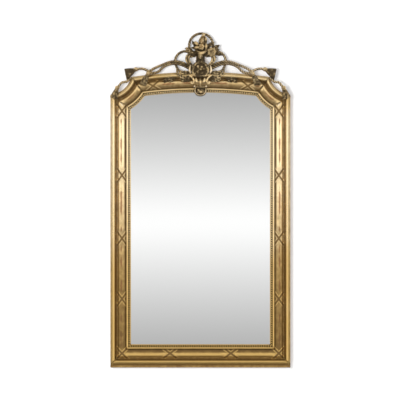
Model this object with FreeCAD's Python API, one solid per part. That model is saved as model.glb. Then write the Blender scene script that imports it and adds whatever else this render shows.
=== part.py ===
import FreeCAD, Part
import math
import os
from FreeCAD import Vector

# A tall wall mirror in a carved and gilt wooden frame, with a crest of flowers, rope and tassels.
# Millimetres. X runs to the viewer's right, Y away from the viewer and Z up.
# The origin is the middle of the flat underside. The depth of a point is its height off the back.

# Outline of the frame
FRAME_WIDTH = 900.0      # over the two stiles
ARCH_CROWN = 1478.0      # top of the arched rail above the underside
ARCH_RADIUS = 2430.0     # outer radius of the arched rail
CORNER_RADIUS = 116.0    # outer radius of the hollowed corners
CORNER_OUTSET = 9.0      # corner centre outside the stile
CORNER_LIFT = 3.0        # corner centre above the crown
BASE_H = 13.0            # strip under the bottom rail
BASE_DEPTH = 46.0
BASE_ROUND = 4.0

# Section of the moulding, from the outside in: widths across and heights off the back
EDGE_W = 7.0
EDGE_H = 42.0
ROLL_W = 18.0
ROLL_SHOULDER = 49.0
ROLL_RISE = 8.0
HOLLOW_W = 13.0
HOLLOW_FLOOR = 28.0
HOLLOW_MID_SHARES = (0.25, 0.2)
REED_W = 40.0
REED_RISE = 17.0
QUIRK_W = 3.0
QUIRK_FLOOR = 26.0
SLIP_W = 8.0
SLIP_H = 34.0
PEARL_W = 10.0
PEARL_SEAT = 22.0
PEARL_BASE = 2.0
PEARL_RISE = 4.2
PEARL_SETBACK = 0.6
PEARL_SHARES = [(0.0, 0.0), (0.2, 0.75), (0.38, 1.0), (0.62, 1.0), (0.8, 0.75), (1.0, 0.0)]

# Rebates, glass and back
GLASS_SEAT = 16.0
GLASS_T = 4.0
GLASS_CLEARANCE = 1.5
REBATE_W = 13.0
BOARD_LAP = 16.0
BOARD_T = 8.0
BOARD_CLEARANCE = 1.0
BOARD_COUNT = 4
BOARD_GAP = 1.5
BLOCK_L = 45.0
BLOCK_W = 8.0
BLOCK_STILE_SHARES = (0.12, 0.38, 0.64, 0.9)
BLOCK_RAIL_SHARES = (-0.5, 0.0, 0.5)

# Keys across the mitres, and screws
KEY_L = 46.0
KEY_W = 13.0
KEY_T = 6.0
KEY_SHARE = 0.36
SCREW_HEAD_R = 4.0
SCREW_HEAD_H = 2.4
SCREW_R = 1.8
SCREW_L = 20.0
BOARD_SCREW_SHARES = (0.15, 0.5, 0.85)

# Crossed ribbons on the reed
RIBBON_T = 2.5
RIBBON_W = 19.0
RIBBON_L = 82.0
RIBBON_ANGLE = 36.0
MITRE_ANGLE = 45.0
LEVEL_ANGLE = 90.0
CROSS_STILE_SHARES = (0.2324, 0.437, 0.6505, 0.868)
CROSS_BOTTOM_SHARE = 0.338
CROSS_TOP_SHARE = 0.527

# Crest: sizes
CREST_RISE = 200.0       # from the crown to the top of the rope ring
CLEAT_W = 44.0
CLEAT_T = 14.0
CLEAT_TOP_SHARE = 0.6
CLEAT_FOOT = 62.0
CLEAT_SCREW_PITCH = 34.0
ROPE_R = 6.0
KNOT_R = 14.0
SHIELD_FRONT = 66.0
SHIELD_FLOOR = 54.0
SHIELD_BACK_SHARES = (0.7, 0.45)
BOSS_RISE = 13.0
PENDANT_BACK = 24.0
PENDANT_FRONT = 52.0
PENDANT_SINK = 5.0
PENDANT_SIDE_SHARE = 0.45
PENDANT_HUMP_SHARE = 0.1
LEAF_T = 8.0
PETAL_T = 13.0
EYE_RISE = 11.0
PETAL_VALLEY_SHARE = 0.78
EYE_SHARE = 0.5
SPINDLE_SHARES = [(0.55, 0.08), (0.9, 0.28), (1.0, 0.5), (0.75, 0.75), (0.4, 0.92)]
TASSEL_DEPTH = 26.0
TASSEL_HEAD_R = 10.5
TASSEL_WAIST_R = 9.0
TASSEL_KNOB_SHARE = 0.62
TASSEL_WAIST_SHARE = 0.9
UPPER_TASSEL_W = 56.0
MIDDLE_TASSEL_W = 37.0
LOWER_TASSEL_W = 47.0

# Crest: sizes of its middle group in the front view, as shares of the crest's rise
SPREAD_SHARE = 2.25      # unit of the group's places across
RING_R_SHARE = 0.3
SCROLL_R_SHARE = 0.0275
STRAP_R_SHARE = 0.0225
SHIELD_R_SHARE = 0.25
SHIELD_LIP_SHARE = 0.035
BOSS_R_SHARE = 0.135
NECK_R_SHARE = 0.13
NECK_WAIST_SHARE = 0.095
PENDANT_W_SHARE = 0.31
PENDANT_H_SHARE = 0.25
PENDANT_RIM_SHARE = 0.04
STEM_R_SHARE = 0.07
LEAF_HALF_W_SHARE = 0.05
SPRAY_HALF_W_SHARE = 0.07
MAIN_ROSE_R_SHARE = 0.155
RIGHT_ROSE_R_SHARE = 0.115
LEFT_ROSETTE_R_SHARE = 0.085
STALK_R_SHARE = 0.065
BUD_R_SHARE = 0.0425

# Crest: places of the middle group, as shares of its spread, the crest's rise and the moulding's depth
RING_SHARES = (0.008, 0.67, 0.36)
RING_ANGLES = (200.0, 90.0, -20.0)
LOOP_SHARES = [(-0.123, 0.52, 0.36), (-0.19, 0.52, 0.36), (-0.245, 0.46, 0.36), (-0.283, 0.32, 0.36),
               (-0.272, 0.17, 0.36), (-0.252, 0.06, 0.36), (-0.243, -0.06, 0.36)]
SHIELD_SHARES = (0.0, 0.065)
SCROLL_SHARES = [(-0.046, 0.28, 1.04), (-0.106, 0.2, 1.04), (-0.119, 0.048, 1.04), (-0.101, -0.078, 1.04),
                 (-0.059, -0.158, 1.04), (-0.05, -0.252, 1.0), (-0.074, -0.328, 0.96),
                 (-0.108, -0.302, 0.94), (-0.103, -0.24, 0.94)]
STRAP_SHARES = [(-0.112, 0.16, 0.86), (-0.148, 0.247, 0.86), (-0.15, 0.36, 0.8), (-0.12, 0.47, 0.62)]
NECK_SHARES = [(0.0, 0.25, 0.62), (0.0, 0.45, 0.62)]
PENDANT_SHARES = (0.0, -0.345)
STEM_SHARES = [(0.0, -0.13, 0.94), (0.0, -0.38, 0.82)]
ACANTHUS_SHARES = [(-0.1, -0.128), (-0.196, -0.215), (-0.261, 0.062), (-0.207, -0.078), (-0.105, 0.0)]
ACANTHUS_DEPTH_SHARES = (0.86, 1.18)
SPRAY_X_SHARES = (-0.262, -0.423)
SPRAY_DEPTH_SHARES = (0.5, 0.9)
MAIN_ROSE_SHARES = (0.0, 0.527, 0.62)
RIGHT_ROSE_SHARES = (0.137, 0.49, 0.52)
LEFT_ROSETTE_SHARES = (-0.132, 0.542, 0.52)
BUD_SHARES = [(0.036, 0.6, 0.74), (0.054, 0.955, 0.74)]
LEAF_SHARES = [[(-0.034, 0.6), (-0.092, 0.785)], [(0.05, 0.585), (0.141, 0.747)],
               [(-0.03, 0.46), (-0.145, 0.36)], [(0.04, 0.45), (0.165, 0.345)],
               [(0.143, 0.52), (0.206, 0.672)], [(-0.135, 0.54), (-0.182, 0.64)]]
LEAF_DEPTH_SHARE = 0.55

# Crest: places of the ropes and tassels, as shares of the half width, the rise and the depth
UPPER_STRAND_SHARES = [(-0.079, 0.085, 0.6), (-0.179, 0.215, 0.6), (-0.279, 0.272, 0.6),
                       (-0.357, 0.247, 0.6), (-0.434, 0.172, 0.62), (-0.512, 0.095, 0.72),
                       (-0.568, 0.01, 0.85)]
LOWER_STRAND_SHARES = [(-0.079, 0.01, 0.6), (-0.179, 0.145, 0.6), (-0.279, 0.203, 0.6),
                       (-0.366, 0.172, 0.6), (-0.426, 0.102, 0.6), (-0.47, 0.008, 0.64),
                       (-0.518, -0.022, 0.72), (-0.568, -0.03, 0.85)]
KNOT_SHARES = (-0.57, -0.02, 0.88)
TAIL_SHARES = [(-0.568, 0.0, 0.88), (-0.607, 0.052, 0.85), (-0.646, 0.083, 0.8), (-0.679, 0.075, 0.76),
               (-0.72, 0.06, 0.72)]
CORNER_ROPE_SHARES = [(-0.75, -0.15, 0.6), (-0.787, -0.178, 0.78), (-0.825, -0.245, 0.92),
                      (-0.87, -0.268, 1.0), (-0.897, -0.332, 1.06), (-0.922, -0.41, 1.12)]
UPPER_TASSEL_SHARES = [(-0.699, 0.09, 0.72), (-0.832, -0.06, 0.66)]
MIDDLE_TASSEL_SHARES = [(-0.572, -0.01, 1.05), (-0.643, -0.332, 1.02)]
LOWER_TASSEL_SHARES = [(-0.916, -0.355, 1.12), (-0.958, -0.668, 1.08)]

# Hanging rings on the back of the stiles
HANGER_DROP = 298.0      # ring axis below the crown
HANGER_U = 34.0
HANGER_STRAP_L = 52.0
HANGER_STRAP_W = 17.0
HANGER_STRAP_T = 1.8
HANGER_SCREW_SHARES = (0.42, 0.82)
HINGE_OFFSET = 4.6       # ring axis behind the back
HINGE_CLEARANCE = 0.05
HINGE_WALL = 1.7
EYE_WIRE_R = 2.0
EYE_SIDE = 9.5
EYE_H = 32.0
EYE_OUTLINE_SHARES = [(0.0, 0.0), (1.0, 0.0), (1.0, 0.5), (0.55, 1.0), (0.0, 1.0)]

OVERRUN = 60.0           # how far cutting shapes run past what they cut
BEND_SHARE = 0.45        # of the shorter run, taken up by a bend

# Worked out from the values above
HALF_W = FRAME_WIDTH / 2
BACK_Y = BASE_DEPTH / 2
DEPTH = ROLL_SHOULDER + ROLL_RISE
HOLLOW_U = EDGE_W + ROLL_W
REED_U = HOLLOW_U + HOLLOW_W
REED_MID = REED_U + REED_W / 2
REED_CROWN = HOLLOW_FLOOR + REED_RISE
QUIRK_U = REED_U + REED_W
SLIP_U = QUIRK_U + QUIRK_W
PEARL_U = SLIP_U + SLIP_W
FRAME_W = PEARL_U + PEARL_W
REBATE_U = FRAME_W - REBATE_W
LAP_U = REBATE_U - BOARD_LAP
CORNER_X = -(HALF_W + CORNER_OUTSET)
CORNER_Z = ARCH_CROWN + CORNER_LIFT
ARCH_Z = ARCH_CROWN - ARCH_RADIUS
SPREAD = CREST_RISE * SPREAD_SHARE
RING_R = CREST_RISE * RING_R_SHARE
SHIELD_R = CREST_RISE * SHIELD_R_SHARE
BOSS_R = CREST_RISE * BOSS_R_SHARE
NECK_R = CREST_RISE * NECK_R_SHARE
NECK_WAIST = CREST_RISE * NECK_WAIST_SHARE
PENDANT_W = CREST_RISE * PENDANT_W_SHARE
PENDANT_H = CREST_RISE * PENDANT_H_SHARE
RIGHT = Vector(1, 0, 0)
FRONT = Vector(0, -1, 0)
UP = Vector(0, 0, 1)


# Helpers
def spot(x, z, depth):
    """Point at a place across, a height and a depth off the back."""
    return Vector(x, BACK_Y - depth, z)


def crest(shares, span=SPREAD):
    """Point from a table of crest shares."""
    across, up, out = shares
    return spot(across * span, ARCH_CROWN + up * CREST_RISE, out * DEPTH)


def crest_flat(shares):
    """Place in the front view from a table of crest shares."""
    across, up = shares
    return (across * SPREAD, ARCH_CROWN + up * CREST_RISE)


def closed_face(start, steps, place):
    """Flat face from lines (an end) and arcs (a point on the way, then the end)."""
    edges = []
    here = start
    for step in steps + [start]:
        there = step[-2:]
        if there == here:
            continue
        if len(step) == 2:
            edges.append(Part.LineSegment(place(*here), place(*there)).toShape())
        else:
            edges.append(Part.Arc(place(*here), place(*step[:2]), place(*there)).toShape())
        here = there
    return Part.Face(Part.Wire(edges))


def slab(start, steps, depth, thickness):
    """Outline seen from the front, from a depth forward by a thickness."""
    face = closed_face(start, steps, lambda x, z: spot(x, z, depth))
    return face.extrude(FRONT * thickness)


def spun(start, steps, base, axis, side):
    """Solid turned about an axis from a section of (radius, way along the axis)."""
    face = closed_face(start, steps, lambda r, s: base + side * r + axis * s)
    return face.revolve(base, axis, 360)


def cap(radius, low, high):
    """Step of a section that ends on the axis as part of a sphere."""
    rise = abs(high - low)
    ball = (radius ** 2 + rise ** 2) / (2 * rise)
    half = math.atan2(radius, ball - rise) / 2
    sag = ball * (1 - math.cos(half))
    return (ball * math.sin(half), high - math.copysign(sag, high - low), 0, high)


def rod(points, radius):
    """Round bar along straight runs joined by tangent arcs."""
    edges = []
    here = points[0]
    for before, corner, after in zip(points, points[1:], points[2:]):
        back = before - corner
        ahead = after - corner
        reach = BEND_SHARE * min(back.Length, ahead.Length)
        back.normalize()
        ahead.normalize()
        half = back.getAngle(ahead) / 2
        enter = corner + back * reach
        leave = corner + ahead * reach
        inward = (back + ahead).normalize()
        crown = corner + inward * (reach / math.cos(half) - reach * math.tan(half))
        edges.append(Part.LineSegment(here, enter).toShape())
        edges.append(Part.Arc(enter, crown, leave).toShape())
        here = leave
    edges.append(Part.LineSegment(here, points[-1]).toShape())
    ring = Part.Wire(Part.Circle(points[0], points[1] - points[0], radius).toShape())
    return Part.Wire(edges).makePipeShell([ring], True, False)


def carve(shape, *others):
    """Largest solid left when other pieces are cut away."""
    return max(shape.cut(list(others)).Solids, key=lambda solid: solid.Volume)


def mirrored(shape):
    """The same piece on the other side of the middle."""
    return shape.mirror(Vector(0, 0, 0), RIGHT)


def crossing(x0, z0, r0, x1, z1, r1):
    """Right-hand meeting point of two circles seen from the front."""
    gap = math.hypot(x1 - x0, z1 - z0)
    along = (r0 ** 2 - r1 ** 2 + gap ** 2) / (2 * gap)
    off = math.sqrt(r0 ** 2 - along ** 2)
    ux = (x1 - x0) / gap
    uz = (z1 - z0) / gap
    both = [(x0 + ux * along - uz * off * side, z0 + uz * along + ux * off * side) for side in (-1, 1)]
    return max(both)


# Lines of the frame at a distance in from its outer edge
def foot_corner(inset):
    """Lower left corner of the frame."""
    return (-HALF_W + inset, BASE_H + inset)


def stile_corner(inset):
    """Where the left stile meets the hollowed corner."""
    reach = CORNER_RADIUS + inset
    return (-HALF_W + inset, CORNER_Z - math.sqrt(reach ** 2 - (CORNER_OUTSET + inset) ** 2))


def rail_corner(inset):
    """Where the hollowed corner meets the arched rail."""
    return crossing(CORNER_X, CORNER_Z, CORNER_RADIUS + inset, 0, ARCH_Z, ARCH_RADIUS - inset)


def arch_height(x, inset):
    """Height of the arched line at a place across."""
    return ARCH_Z + math.sqrt((ARCH_RADIUS - inset) ** 2 - x ** 2)


def stretched(inner_outer):
    """A mitre line run past both its ends."""
    (x0, z0), (x1, z1) = inner_outer
    share = OVERRUN / math.hypot(x1 - x0, z1 - z0)
    dx = (x1 - x0) * share
    dz = (z1 - z0) * share
    return (x0 - dx, z0 - dz), (x1 + dx, z1 + dz)


def other_side(point):
    """A point of the front view on the other side of the middle."""
    return (-point[0], point[1])


def frame_fill(inset, depth, thickness):
    """Sheet that follows the frame at a distance in from its outer edge."""
    foot = foot_corner(inset)
    stile = stile_corner(inset)
    rail = rail_corner(inset)
    middle = math.atan2(stile[1] + rail[1] - 2 * CORNER_Z, stile[0] + rail[0] - 2 * CORNER_X)
    bend = (CORNER_X + (CORNER_RADIUS + inset) * math.cos(middle),
            CORNER_Z + (CORNER_RADIUS + inset) * math.sin(middle))
    steps = [stile, bend + rail, (0, ARCH_CROWN - inset) + other_side(rail),
             other_side(bend) + other_side(stile), other_side(foot)]
    return slab(foot, steps, depth, thickness)


FOOT_MITRE = (foot_corner(0), foot_corner(FRAME_W))
STILE_MITRE = (stile_corner(0), stile_corner(FRAME_W))
RAIL_MITRE = (rail_corner(0), rail_corner(FRAME_W))


def between(*mitres, beyond=()):
    """Space through the frame between two mitre lines."""
    (a0, a1), (b0, b1) = [stretched(mitre) for mitre in mitres]
    corners = [a0, a1, b1, b0] + list(beyond)
    return slab(corners[0], corners[1:], -OVERRUN, DEPTH + 2 * OVERRUN)


LEFT_SPACE = between(FOOT_MITRE, STILE_MITRE)
CORNER_SPACE = between(STILE_MITRE, RAIL_MITRE)
BOTTOM_SPACE = between(FOOT_MITRE, [other_side(p) for p in FOOT_MITRE])
TOP_SPACE = between(RAIL_MITRE, [other_side(p) for p in RAIL_MITRE],
                    beyond=[(0, ARCH_CROWN + OVERRUN)])


# One section carried along each member of the frame
def left_member(start, steps):
    """Along the left stile."""
    face = closed_face(start, steps, lambda u, v: spot(u - HALF_W, 0, v))
    return face.extrude(UP * ARCH_CROWN).common(LEFT_SPACE).Solids[0]


def bottom_member(start, steps):
    """Along the bottom rail."""
    face = closed_face(start, steps, lambda u, v: spot(-HALF_W - OVERRUN, BASE_H + u, v))
    return face.extrude(RIGHT * (FRAME_WIDTH + 2 * OVERRUN)).common(BOTTOM_SPACE).Solids[0]


def corner_member(start, steps):
    """Round the left hollowed corner."""
    face = closed_face(start, steps, lambda u, v: spot(CORNER_X, CORNER_Z - CORNER_RADIUS - u, v))
    return face.revolve(spot(CORNER_X, CORNER_Z, 0), FRONT, 90).common(CORNER_SPACE).Solids[0]


def top_member(start, steps):
    """Along the arched rail."""
    face = closed_face(start, steps, lambda u, v: spot(0, ARCH_CROWN - u, v))
    centre = spot(0, ARCH_Z, 0)
    half = math.degrees(math.asin(HALF_W / ARCH_RADIUS))
    face.rotate(centre, FRONT, half)
    return face.revolve(centre, FRONT, -2 * half).common(TOP_SPACE).Solids[0]


# Moulding
MOULDING = [(0, EDGE_H), (EDGE_W, EDGE_H), (EDGE_W, ROLL_SHOULDER),
            (EDGE_W + ROLL_W / 2, DEPTH, HOLLOW_U, ROLL_SHOULDER),
            (HOLLOW_U + HOLLOW_W * HOLLOW_MID_SHARES[0],
             HOLLOW_FLOOR + (ROLL_SHOULDER - HOLLOW_FLOOR) * HOLLOW_MID_SHARES[1], REED_U, HOLLOW_FLOOR),
            (REED_MID, REED_CROWN, QUIRK_U, HOLLOW_FLOOR),
            (QUIRK_U, QUIRK_FLOOR), (SLIP_U, QUIRK_FLOOR), (SLIP_U, SLIP_H), (PEARL_U, SLIP_H),
            (PEARL_U, PEARL_SEAT), (FRAME_W, PEARL_SEAT), (FRAME_W, GLASS_SEAT), (REBATE_U, GLASS_SEAT),
            (REBATE_U, BOARD_T), (LAP_U, BOARD_T), (LAP_U, 0)]
left_stile = left_member((0, 0), MOULDING)
bottom_rail = bottom_member((0, 0), MOULDING)
left_corner = corner_member((0, 0), MOULDING)
top_rail = top_member((0, 0), MOULDING)

base_strip = Part.makeBox(FRAME_WIDTH, BASE_DEPTH, BASE_H, spot(-HALF_W, 0, BASE_DEPTH))
base_strip = base_strip.makeFillet(BASE_ROUND, [edge for edge in base_strip.Edges
                                               if edge.BoundBox.YMax < -BACK_Y + BASE_ROUND
                                               and edge.BoundBox.XLength > BASE_H])

# Strip of pearls along the sight edge
PEARL_END = FRAME_W - PEARL_SETBACK
PEARL_TOP = PEARL_SEAT + PEARL_BASE
PEARL_STRIP = [(PEARL_U + (PEARL_END - PEARL_U) * way, PEARL_TOP + PEARL_RISE * up)
               for way, up in PEARL_SHARES] + [(PEARL_END, PEARL_SEAT)]
left_pearls = left_member((PEARL_U, PEARL_SEAT), PEARL_STRIP)
bottom_pearls = bottom_member((PEARL_U, PEARL_SEAT), PEARL_STRIP)
left_corner_pearls = corner_member((PEARL_U, PEARL_SEAT), PEARL_STRIP)
top_pearls = top_member((PEARL_U, PEARL_SEAT), PEARL_STRIP)


# Crossed ribbons: a skin over the reed, kept only under two crossed bands
def band(x, z, lean):
    """Straight band through the frame at an angle from upright."""
    turn = math.radians(lean)
    ax = math.sin(turn) * RIBBON_L / 2
    az = math.cos(turn) * RIBBON_L / 2
    bx = math.cos(turn) * RIBBON_W / 2
    bz = -math.sin(turn) * RIBBON_W / 2
    corners = [(x - ax - bx, z - az - bz), (x - ax + bx, z - az + bz),
               (x + ax + bx, z + az + bz), (x + ax - bx, z + az - bz)]
    return slab(corners[0], corners[1:], 0, DEPTH)


def cross(x, z, along, lean):
    """Two bands crossed about a line at an angle from upright."""
    return band(x, z, along + lean).fuse(band(x, z, along - lean))


RIBBON = [(REED_MID, REED_CROWN + RIBBON_T, QUIRK_U, HOLLOW_FLOOR),
          (REED_MID, REED_CROWN, REED_U, HOLLOW_FLOOR)]
REED_FOOT = foot_corner(REED_MID)
CROSS_TOP_X = HALF_W * CROSS_TOP_SHARE
TOP_LEAN = math.degrees(math.asin(CROSS_TOP_X / (ARCH_RADIUS - REED_MID)))
corner_cross = cross(REED_FOOT[0], REED_FOOT[1], 0, MITRE_ANGLE)
stile_crosses = [cross(REED_FOOT[0], ARCH_CROWN * share, 0, RIBBON_ANGLE) for share in CROSS_STILE_SHARES]
bottom_cross = cross(-HALF_W * CROSS_BOTTOM_SHARE, REED_FOOT[1], LEVEL_ANGLE, RIBBON_ANGLE)
top_cross = cross(-CROSS_TOP_X, arch_height(CROSS_TOP_X, REED_MID), LEVEL_ANGLE - TOP_LEAN, RIBBON_ANGLE)
left_ribbons = []
for member, crosses in ((left_member, stile_crosses + [corner_cross]),
                        (bottom_member, [bottom_cross, corner_cross]),
                        (top_member, [top_cross])):
    skin = member((REED_U, HOLLOW_FLOOR), RIBBON)
    for crossed in crosses:
        left_ribbons += skin.common(crossed).Solids
ribbon_crosses = left_ribbons + [mirrored(solid) for solid in left_ribbons]


# Back: keys across the mitres, glass, blocks, boards and screws
def mitre_key(mitre):
    """Flat key let into the back across a mitre."""
    (x0, z0), (x1, z1) = mitre
    lean = math.degrees(math.atan2(z1 - z0, x1 - x0))
    key = Part.makeBox(KEY_W, KEY_T, KEY_L, Vector(-KEY_W / 2, BACK_Y - KEY_T, -KEY_L / 2))
    key.rotate(Vector(0, 0, 0), FRONT, lean)
    key.translate(Vector(x0 + (x1 - x0) * KEY_SHARE, 0, z0 + (z1 - z0) * KEY_SHARE))
    return key


def screw(point, axis):
    """Flat-headed screw from its head's face along an axis."""
    side = UP if axis.cross(UP).Length else RIGHT
    section = [(SCREW_HEAD_R, 0), (SCREW_R, SCREW_HEAD_H), (SCREW_R, SCREW_L - SCREW_R), (0, SCREW_L)]
    return spun((0, 0), section, point, axis, side)


left_keys = [mitre_key(mitre) for mitre in (FOOT_MITRE, STILE_MITRE, RAIL_MITRE)]
mitre_keys = left_keys + [mirrored(key) for key in left_keys]

GLASS_BACK = GLASS_SEAT - GLASS_T
mirror_glass = frame_fill(REBATE_U + GLASS_CLEARANCE, GLASS_BACK, GLASS_T)
BLOCK_T = GLASS_BACK - BOARD_T
SIGHT_FOOT = foot_corner(REBATE_U)
STILE_RUN = stile_corner(REBATE_U)[1] - SIGHT_FOOT[1]
glass_blocks = []
for share in BLOCK_STILE_SHARES:
    z = SIGHT_FOOT[1] + STILE_RUN * share - BLOCK_L / 2
    block = Part.makeBox(BLOCK_W, BLOCK_T, BLOCK_L, spot(SIGHT_FOOT[0], z, GLASS_BACK))
    glass_blocks += [block, mirrored(block)]
for share in BLOCK_RAIL_SHARES:
    x = share * -SIGHT_FOOT[0]
    low = Part.makeBox(BLOCK_L, BLOCK_T, BLOCK_W, spot(x - BLOCK_L / 2, SIGHT_FOOT[1], GLASS_BACK))
    top = min(arch_height(x - BLOCK_L / 2, REBATE_U), arch_height(x + BLOCK_L / 2, REBATE_U))
    high = Part.makeBox(BLOCK_L, BLOCK_T, BLOCK_W, spot(x - BLOCK_L / 2, top - BLOCK_W, GLASS_BACK))
    glass_blocks += [low, high]

LAP_MID = LAP_U + BOARD_LAP / 2
BOARD_U = LAP_U + BOARD_CLEARANCE
BOARD_STEP = 2 * (HALF_W - BOARD_U) / BOARD_COUNT
sheet = frame_fill(BOARD_U, 0, BOARD_T)
board_centres = [BOARD_U - HALF_W + BOARD_STEP * (i + 0.5) for i in range(BOARD_COUNT)]
back_boards = []
for x in board_centres:
    width = BOARD_STEP - BOARD_GAP
    plank = Part.makeBox(width, BOARD_T, ARCH_CROWN, spot(x - width / 2, 0, BOARD_T))
    back_boards += sheet.common(plank).Solids
screw_places = [(x, BASE_H + LAP_MID) for x in board_centres]
screw_places += [(x, arch_height(x, LAP_MID)) for x in board_centres[1:-1]]
for share in BOARD_SCREW_SHARES:
    screw_places += [(side * (HALF_W - LAP_MID), SIGHT_FOOT[1] + STILE_RUN * share) for side in (-1, 1)]
board_screws = [screw(spot(x, z, 0), FRONT) for x, z in screw_places]
back_boards = [board.cut(board_screws).Solids[0] for board in back_boards]

# Crest board let into the back of the arched rail
CLEAT_BOTTOM = ARCH_CROWN - CLEAT_FOOT
crest_cleat = Part.makeBox(CLEAT_W, CLEAT_T, ARCH_CROWN + CREST_RISE * CLEAT_TOP_SHARE - CLEAT_BOTTOM,
                           spot(-CLEAT_W / 2, CLEAT_BOTTOM, CLEAT_T))
cleat_screws = [screw(spot(0, CLEAT_BOTTOM + CLEAT_FOOT / 2 + side * CLEAT_SCREW_PITCH / 2, 0), FRONT)
                for side in (-1, 1)]
top_rail = top_rail.cut([crest_cleat] + cleat_screws + mitre_keys + board_screws).Solids[0]
crest_cleat = crest_cleat.cut(cleat_screws).Solids[0]
left_stile = left_stile.cut(mitre_keys + board_screws).Solids[0]
left_corner = left_corner.cut(mitre_keys).Solids[0]
bottom_rail = bottom_rail.cut(mitre_keys + board_screws).Solids[0]
RAILS = [top_rail, left_corner, left_stile, top_pearls]


# Crest pieces
def tassel(shares, width):
    """Knob, round head and flat flared skirt."""
    top, tip = [crest(place, HALF_W) for place in shares]
    axis = tip - top
    length = axis.Length
    axis.normalize()
    side = axis.cross(FRONT).normalize()
    out = axis.cross(side)
    knob_r = TASSEL_HEAD_R * TASSEL_KNOB_SHARE
    knob = Part.makeSphere(knob_r, top + axis * knob_r)
    head_way = knob_r + TASSEL_HEAD_R
    head = Part.makeSphere(TASSEL_HEAD_R, top + axis * head_way)
    rings = []
    for way, across, deep in ((head_way, TASSEL_WAIST_R, TASSEL_WAIST_R * TASSEL_WAIST_SHARE),
                              (length, width / 2, TASSEL_DEPTH / 2)):
        centre = top + axis * way
        oval = Part.Ellipse(centre + side * across, centre + out * deep, centre)
        rings.append(Part.Wire(oval.toShape()))
    return head.fuse([knob, Part.makeLoft(rings, True, True)])


def rope(shares):
    """Round rope through a table of places."""
    return rod([crest(place, HALF_W) for place in shares], ROPE_R)


def flower(shares, radius, petals, back):
    """Lobed flower with a domed eye, on a stalk that reaches back to a depth."""
    centre = crest(shares)
    depth = shares[2] * DEPTH
    turn = math.pi / petals
    low = radius * PETAL_VALLEY_SHARE
    around = []
    for i in range(petals):
        around.append((math.cos(2 * i * turn) * radius, math.sin(2 * i * turn) * radius,
                       math.cos((2 * i + 1) * turn) * low, math.sin((2 * i + 1) * turn) * low))
    start = around[-1][2:]
    face = closed_face(start, around, lambda x, z: centre + RIGHT * x + UP * z)
    petal_ring = face.extrude(FRONT * PETAL_T)
    eye_r = radius * EYE_SHARE
    eye = spun((0, 0), [(eye_r, 0), (eye_r, PETAL_T), cap(eye_r, PETAL_T, PETAL_T + EYE_RISE)],
               centre, FRONT, RIGHT)
    stalk_r = min(CREST_RISE * STALK_R_SHARE, eye_r)
    stalk = spun((0, 0), [(stalk_r, 0), (eye_r, depth - back), (0, depth - back)],
                 centre - FRONT * (depth - back), FRONT, RIGHT)
    return petal_ring.fuse([eye, stalk]).removeSplitter()


def leaf(base, tip, half_width, depth, thickness):
    """Pointed leaf with two curved sides."""
    (x0, z0), (x1, z1) = base, tip
    length = math.hypot(x1 - x0, z1 - z0)
    nx = (z0 - z1) / length * half_width
    nz = (x1 - x0) / length * half_width
    mx = (x0 + x1) / 2
    mz = (z0 + z1) / 2
    return slab((x0, z0), [(mx + nx, mz + nz, x1, z1), (mx - nx, mz - nz, x0, z0)], depth, thickness)


# Cartouche
SHIELD_Z = ARCH_CROWN + SHIELD_SHARES[1] * CREST_RISE
SHIELD_T = SHIELD_FRONT - CLEAT_T
DISH_R = SHIELD_R - CREST_RISE * SHIELD_LIP_SHARE
DISH_T = SHIELD_FLOOR - CLEAT_T
shield = spun((0, 0), [(SHIELD_R * SHIELD_BACK_SHARES[0], 0), (SHIELD_R, SHIELD_T * SHIELD_BACK_SHARES[1]),
                       (SHIELD_R, SHIELD_T), (DISH_R, SHIELD_T), cap(DISH_R, SHIELD_T, DISH_T)],
              spot(0, SHIELD_Z, CLEAT_T), FRONT, RIGHT)
cartouche_shield = carve(shield, top_rail)
boss = spun((0, 0), [(BOSS_R, 0), cap(BOSS_R, 0, BOSS_RISE)], spot(0, SHIELD_Z, SHIELD_FLOOR),
            FRONT, RIGHT)
cartouche_boss = carve(boss, cartouche_shield)

main_rose = flower(MAIN_ROSE_SHARES, CREST_RISE * MAIN_ROSE_R_SHARE, 6, CLEAT_T)
right_rose = flower(RIGHT_ROSE_SHARES, CREST_RISE * RIGHT_ROSE_R_SHARE, 5, CLEAT_T)
left_rosette = flower(LEFT_ROSETTE_SHARES, CREST_RISE * LEFT_ROSETTE_R_SHARE, 5, CLEAT_T)
FLOWERS = [main_rose, right_rose, left_rosette]

neck_foot, neck_top = [crest(place) for place in NECK_SHARES]
NECK_L = (neck_top - neck_foot).Length
neck = spun((0, 0), [(NECK_R, 0), (NECK_WAIST, NECK_L / 2, NECK_R, NECK_L), (0, NECK_L)],
            neck_foot, UP, RIGHT)
cartouche_neck = carve(neck, crest_cleat, cartouche_shield, *FLOWERS)

scroll = rod([crest(place) for place in SCROLL_SHARES], CREST_RISE * SCROLL_R_SHARE)
left_scroll = carve(scroll, cartouche_shield, cartouche_neck, top_rail)
SCROLLS = [left_scroll, mirrored(left_scroll)]
strap = rod([crest(place) for place in STRAP_SHARES], CREST_RISE * STRAP_R_SHARE)
left_strap = carve(strap, cartouche_shield, SCROLLS[0], left_rosette)
right_strap = carve(mirrored(strap), cartouche_shield, SCROLLS[1], right_rose)


def pendant_plate(inset, depth, thickness):
    """Round-ended drop below the cartouche."""
    half = PENDANT_W / 2 - inset
    top = ARCH_CROWN + PENDANT_SHARES[1] * CREST_RISE - inset
    side = top - (PENDANT_H - 2 * inset) * PENDANT_SIDE_SHARE
    foot = top - (PENDANT_H - 2 * inset)
    hump = top + PENDANT_H * PENDANT_HUMP_SHARE
    return slab((-half, top), [(-half, side), (0, foot, half, side), (half, top), (0, hump, -half, top)],
                depth, thickness)


def spindle(places, radius):
    """Drop with two pointed ends."""
    foot, tip = [crest(place) for place in places]
    axis = tip - foot
    length = axis.Length
    axis.normalize()
    section = [(radius * wide, length * way) for wide, way in SPINDLE_SHARES] + [(0, length)]
    return spun((0, 0), section, foot, axis, axis.cross(FRONT).normalize())


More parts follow.
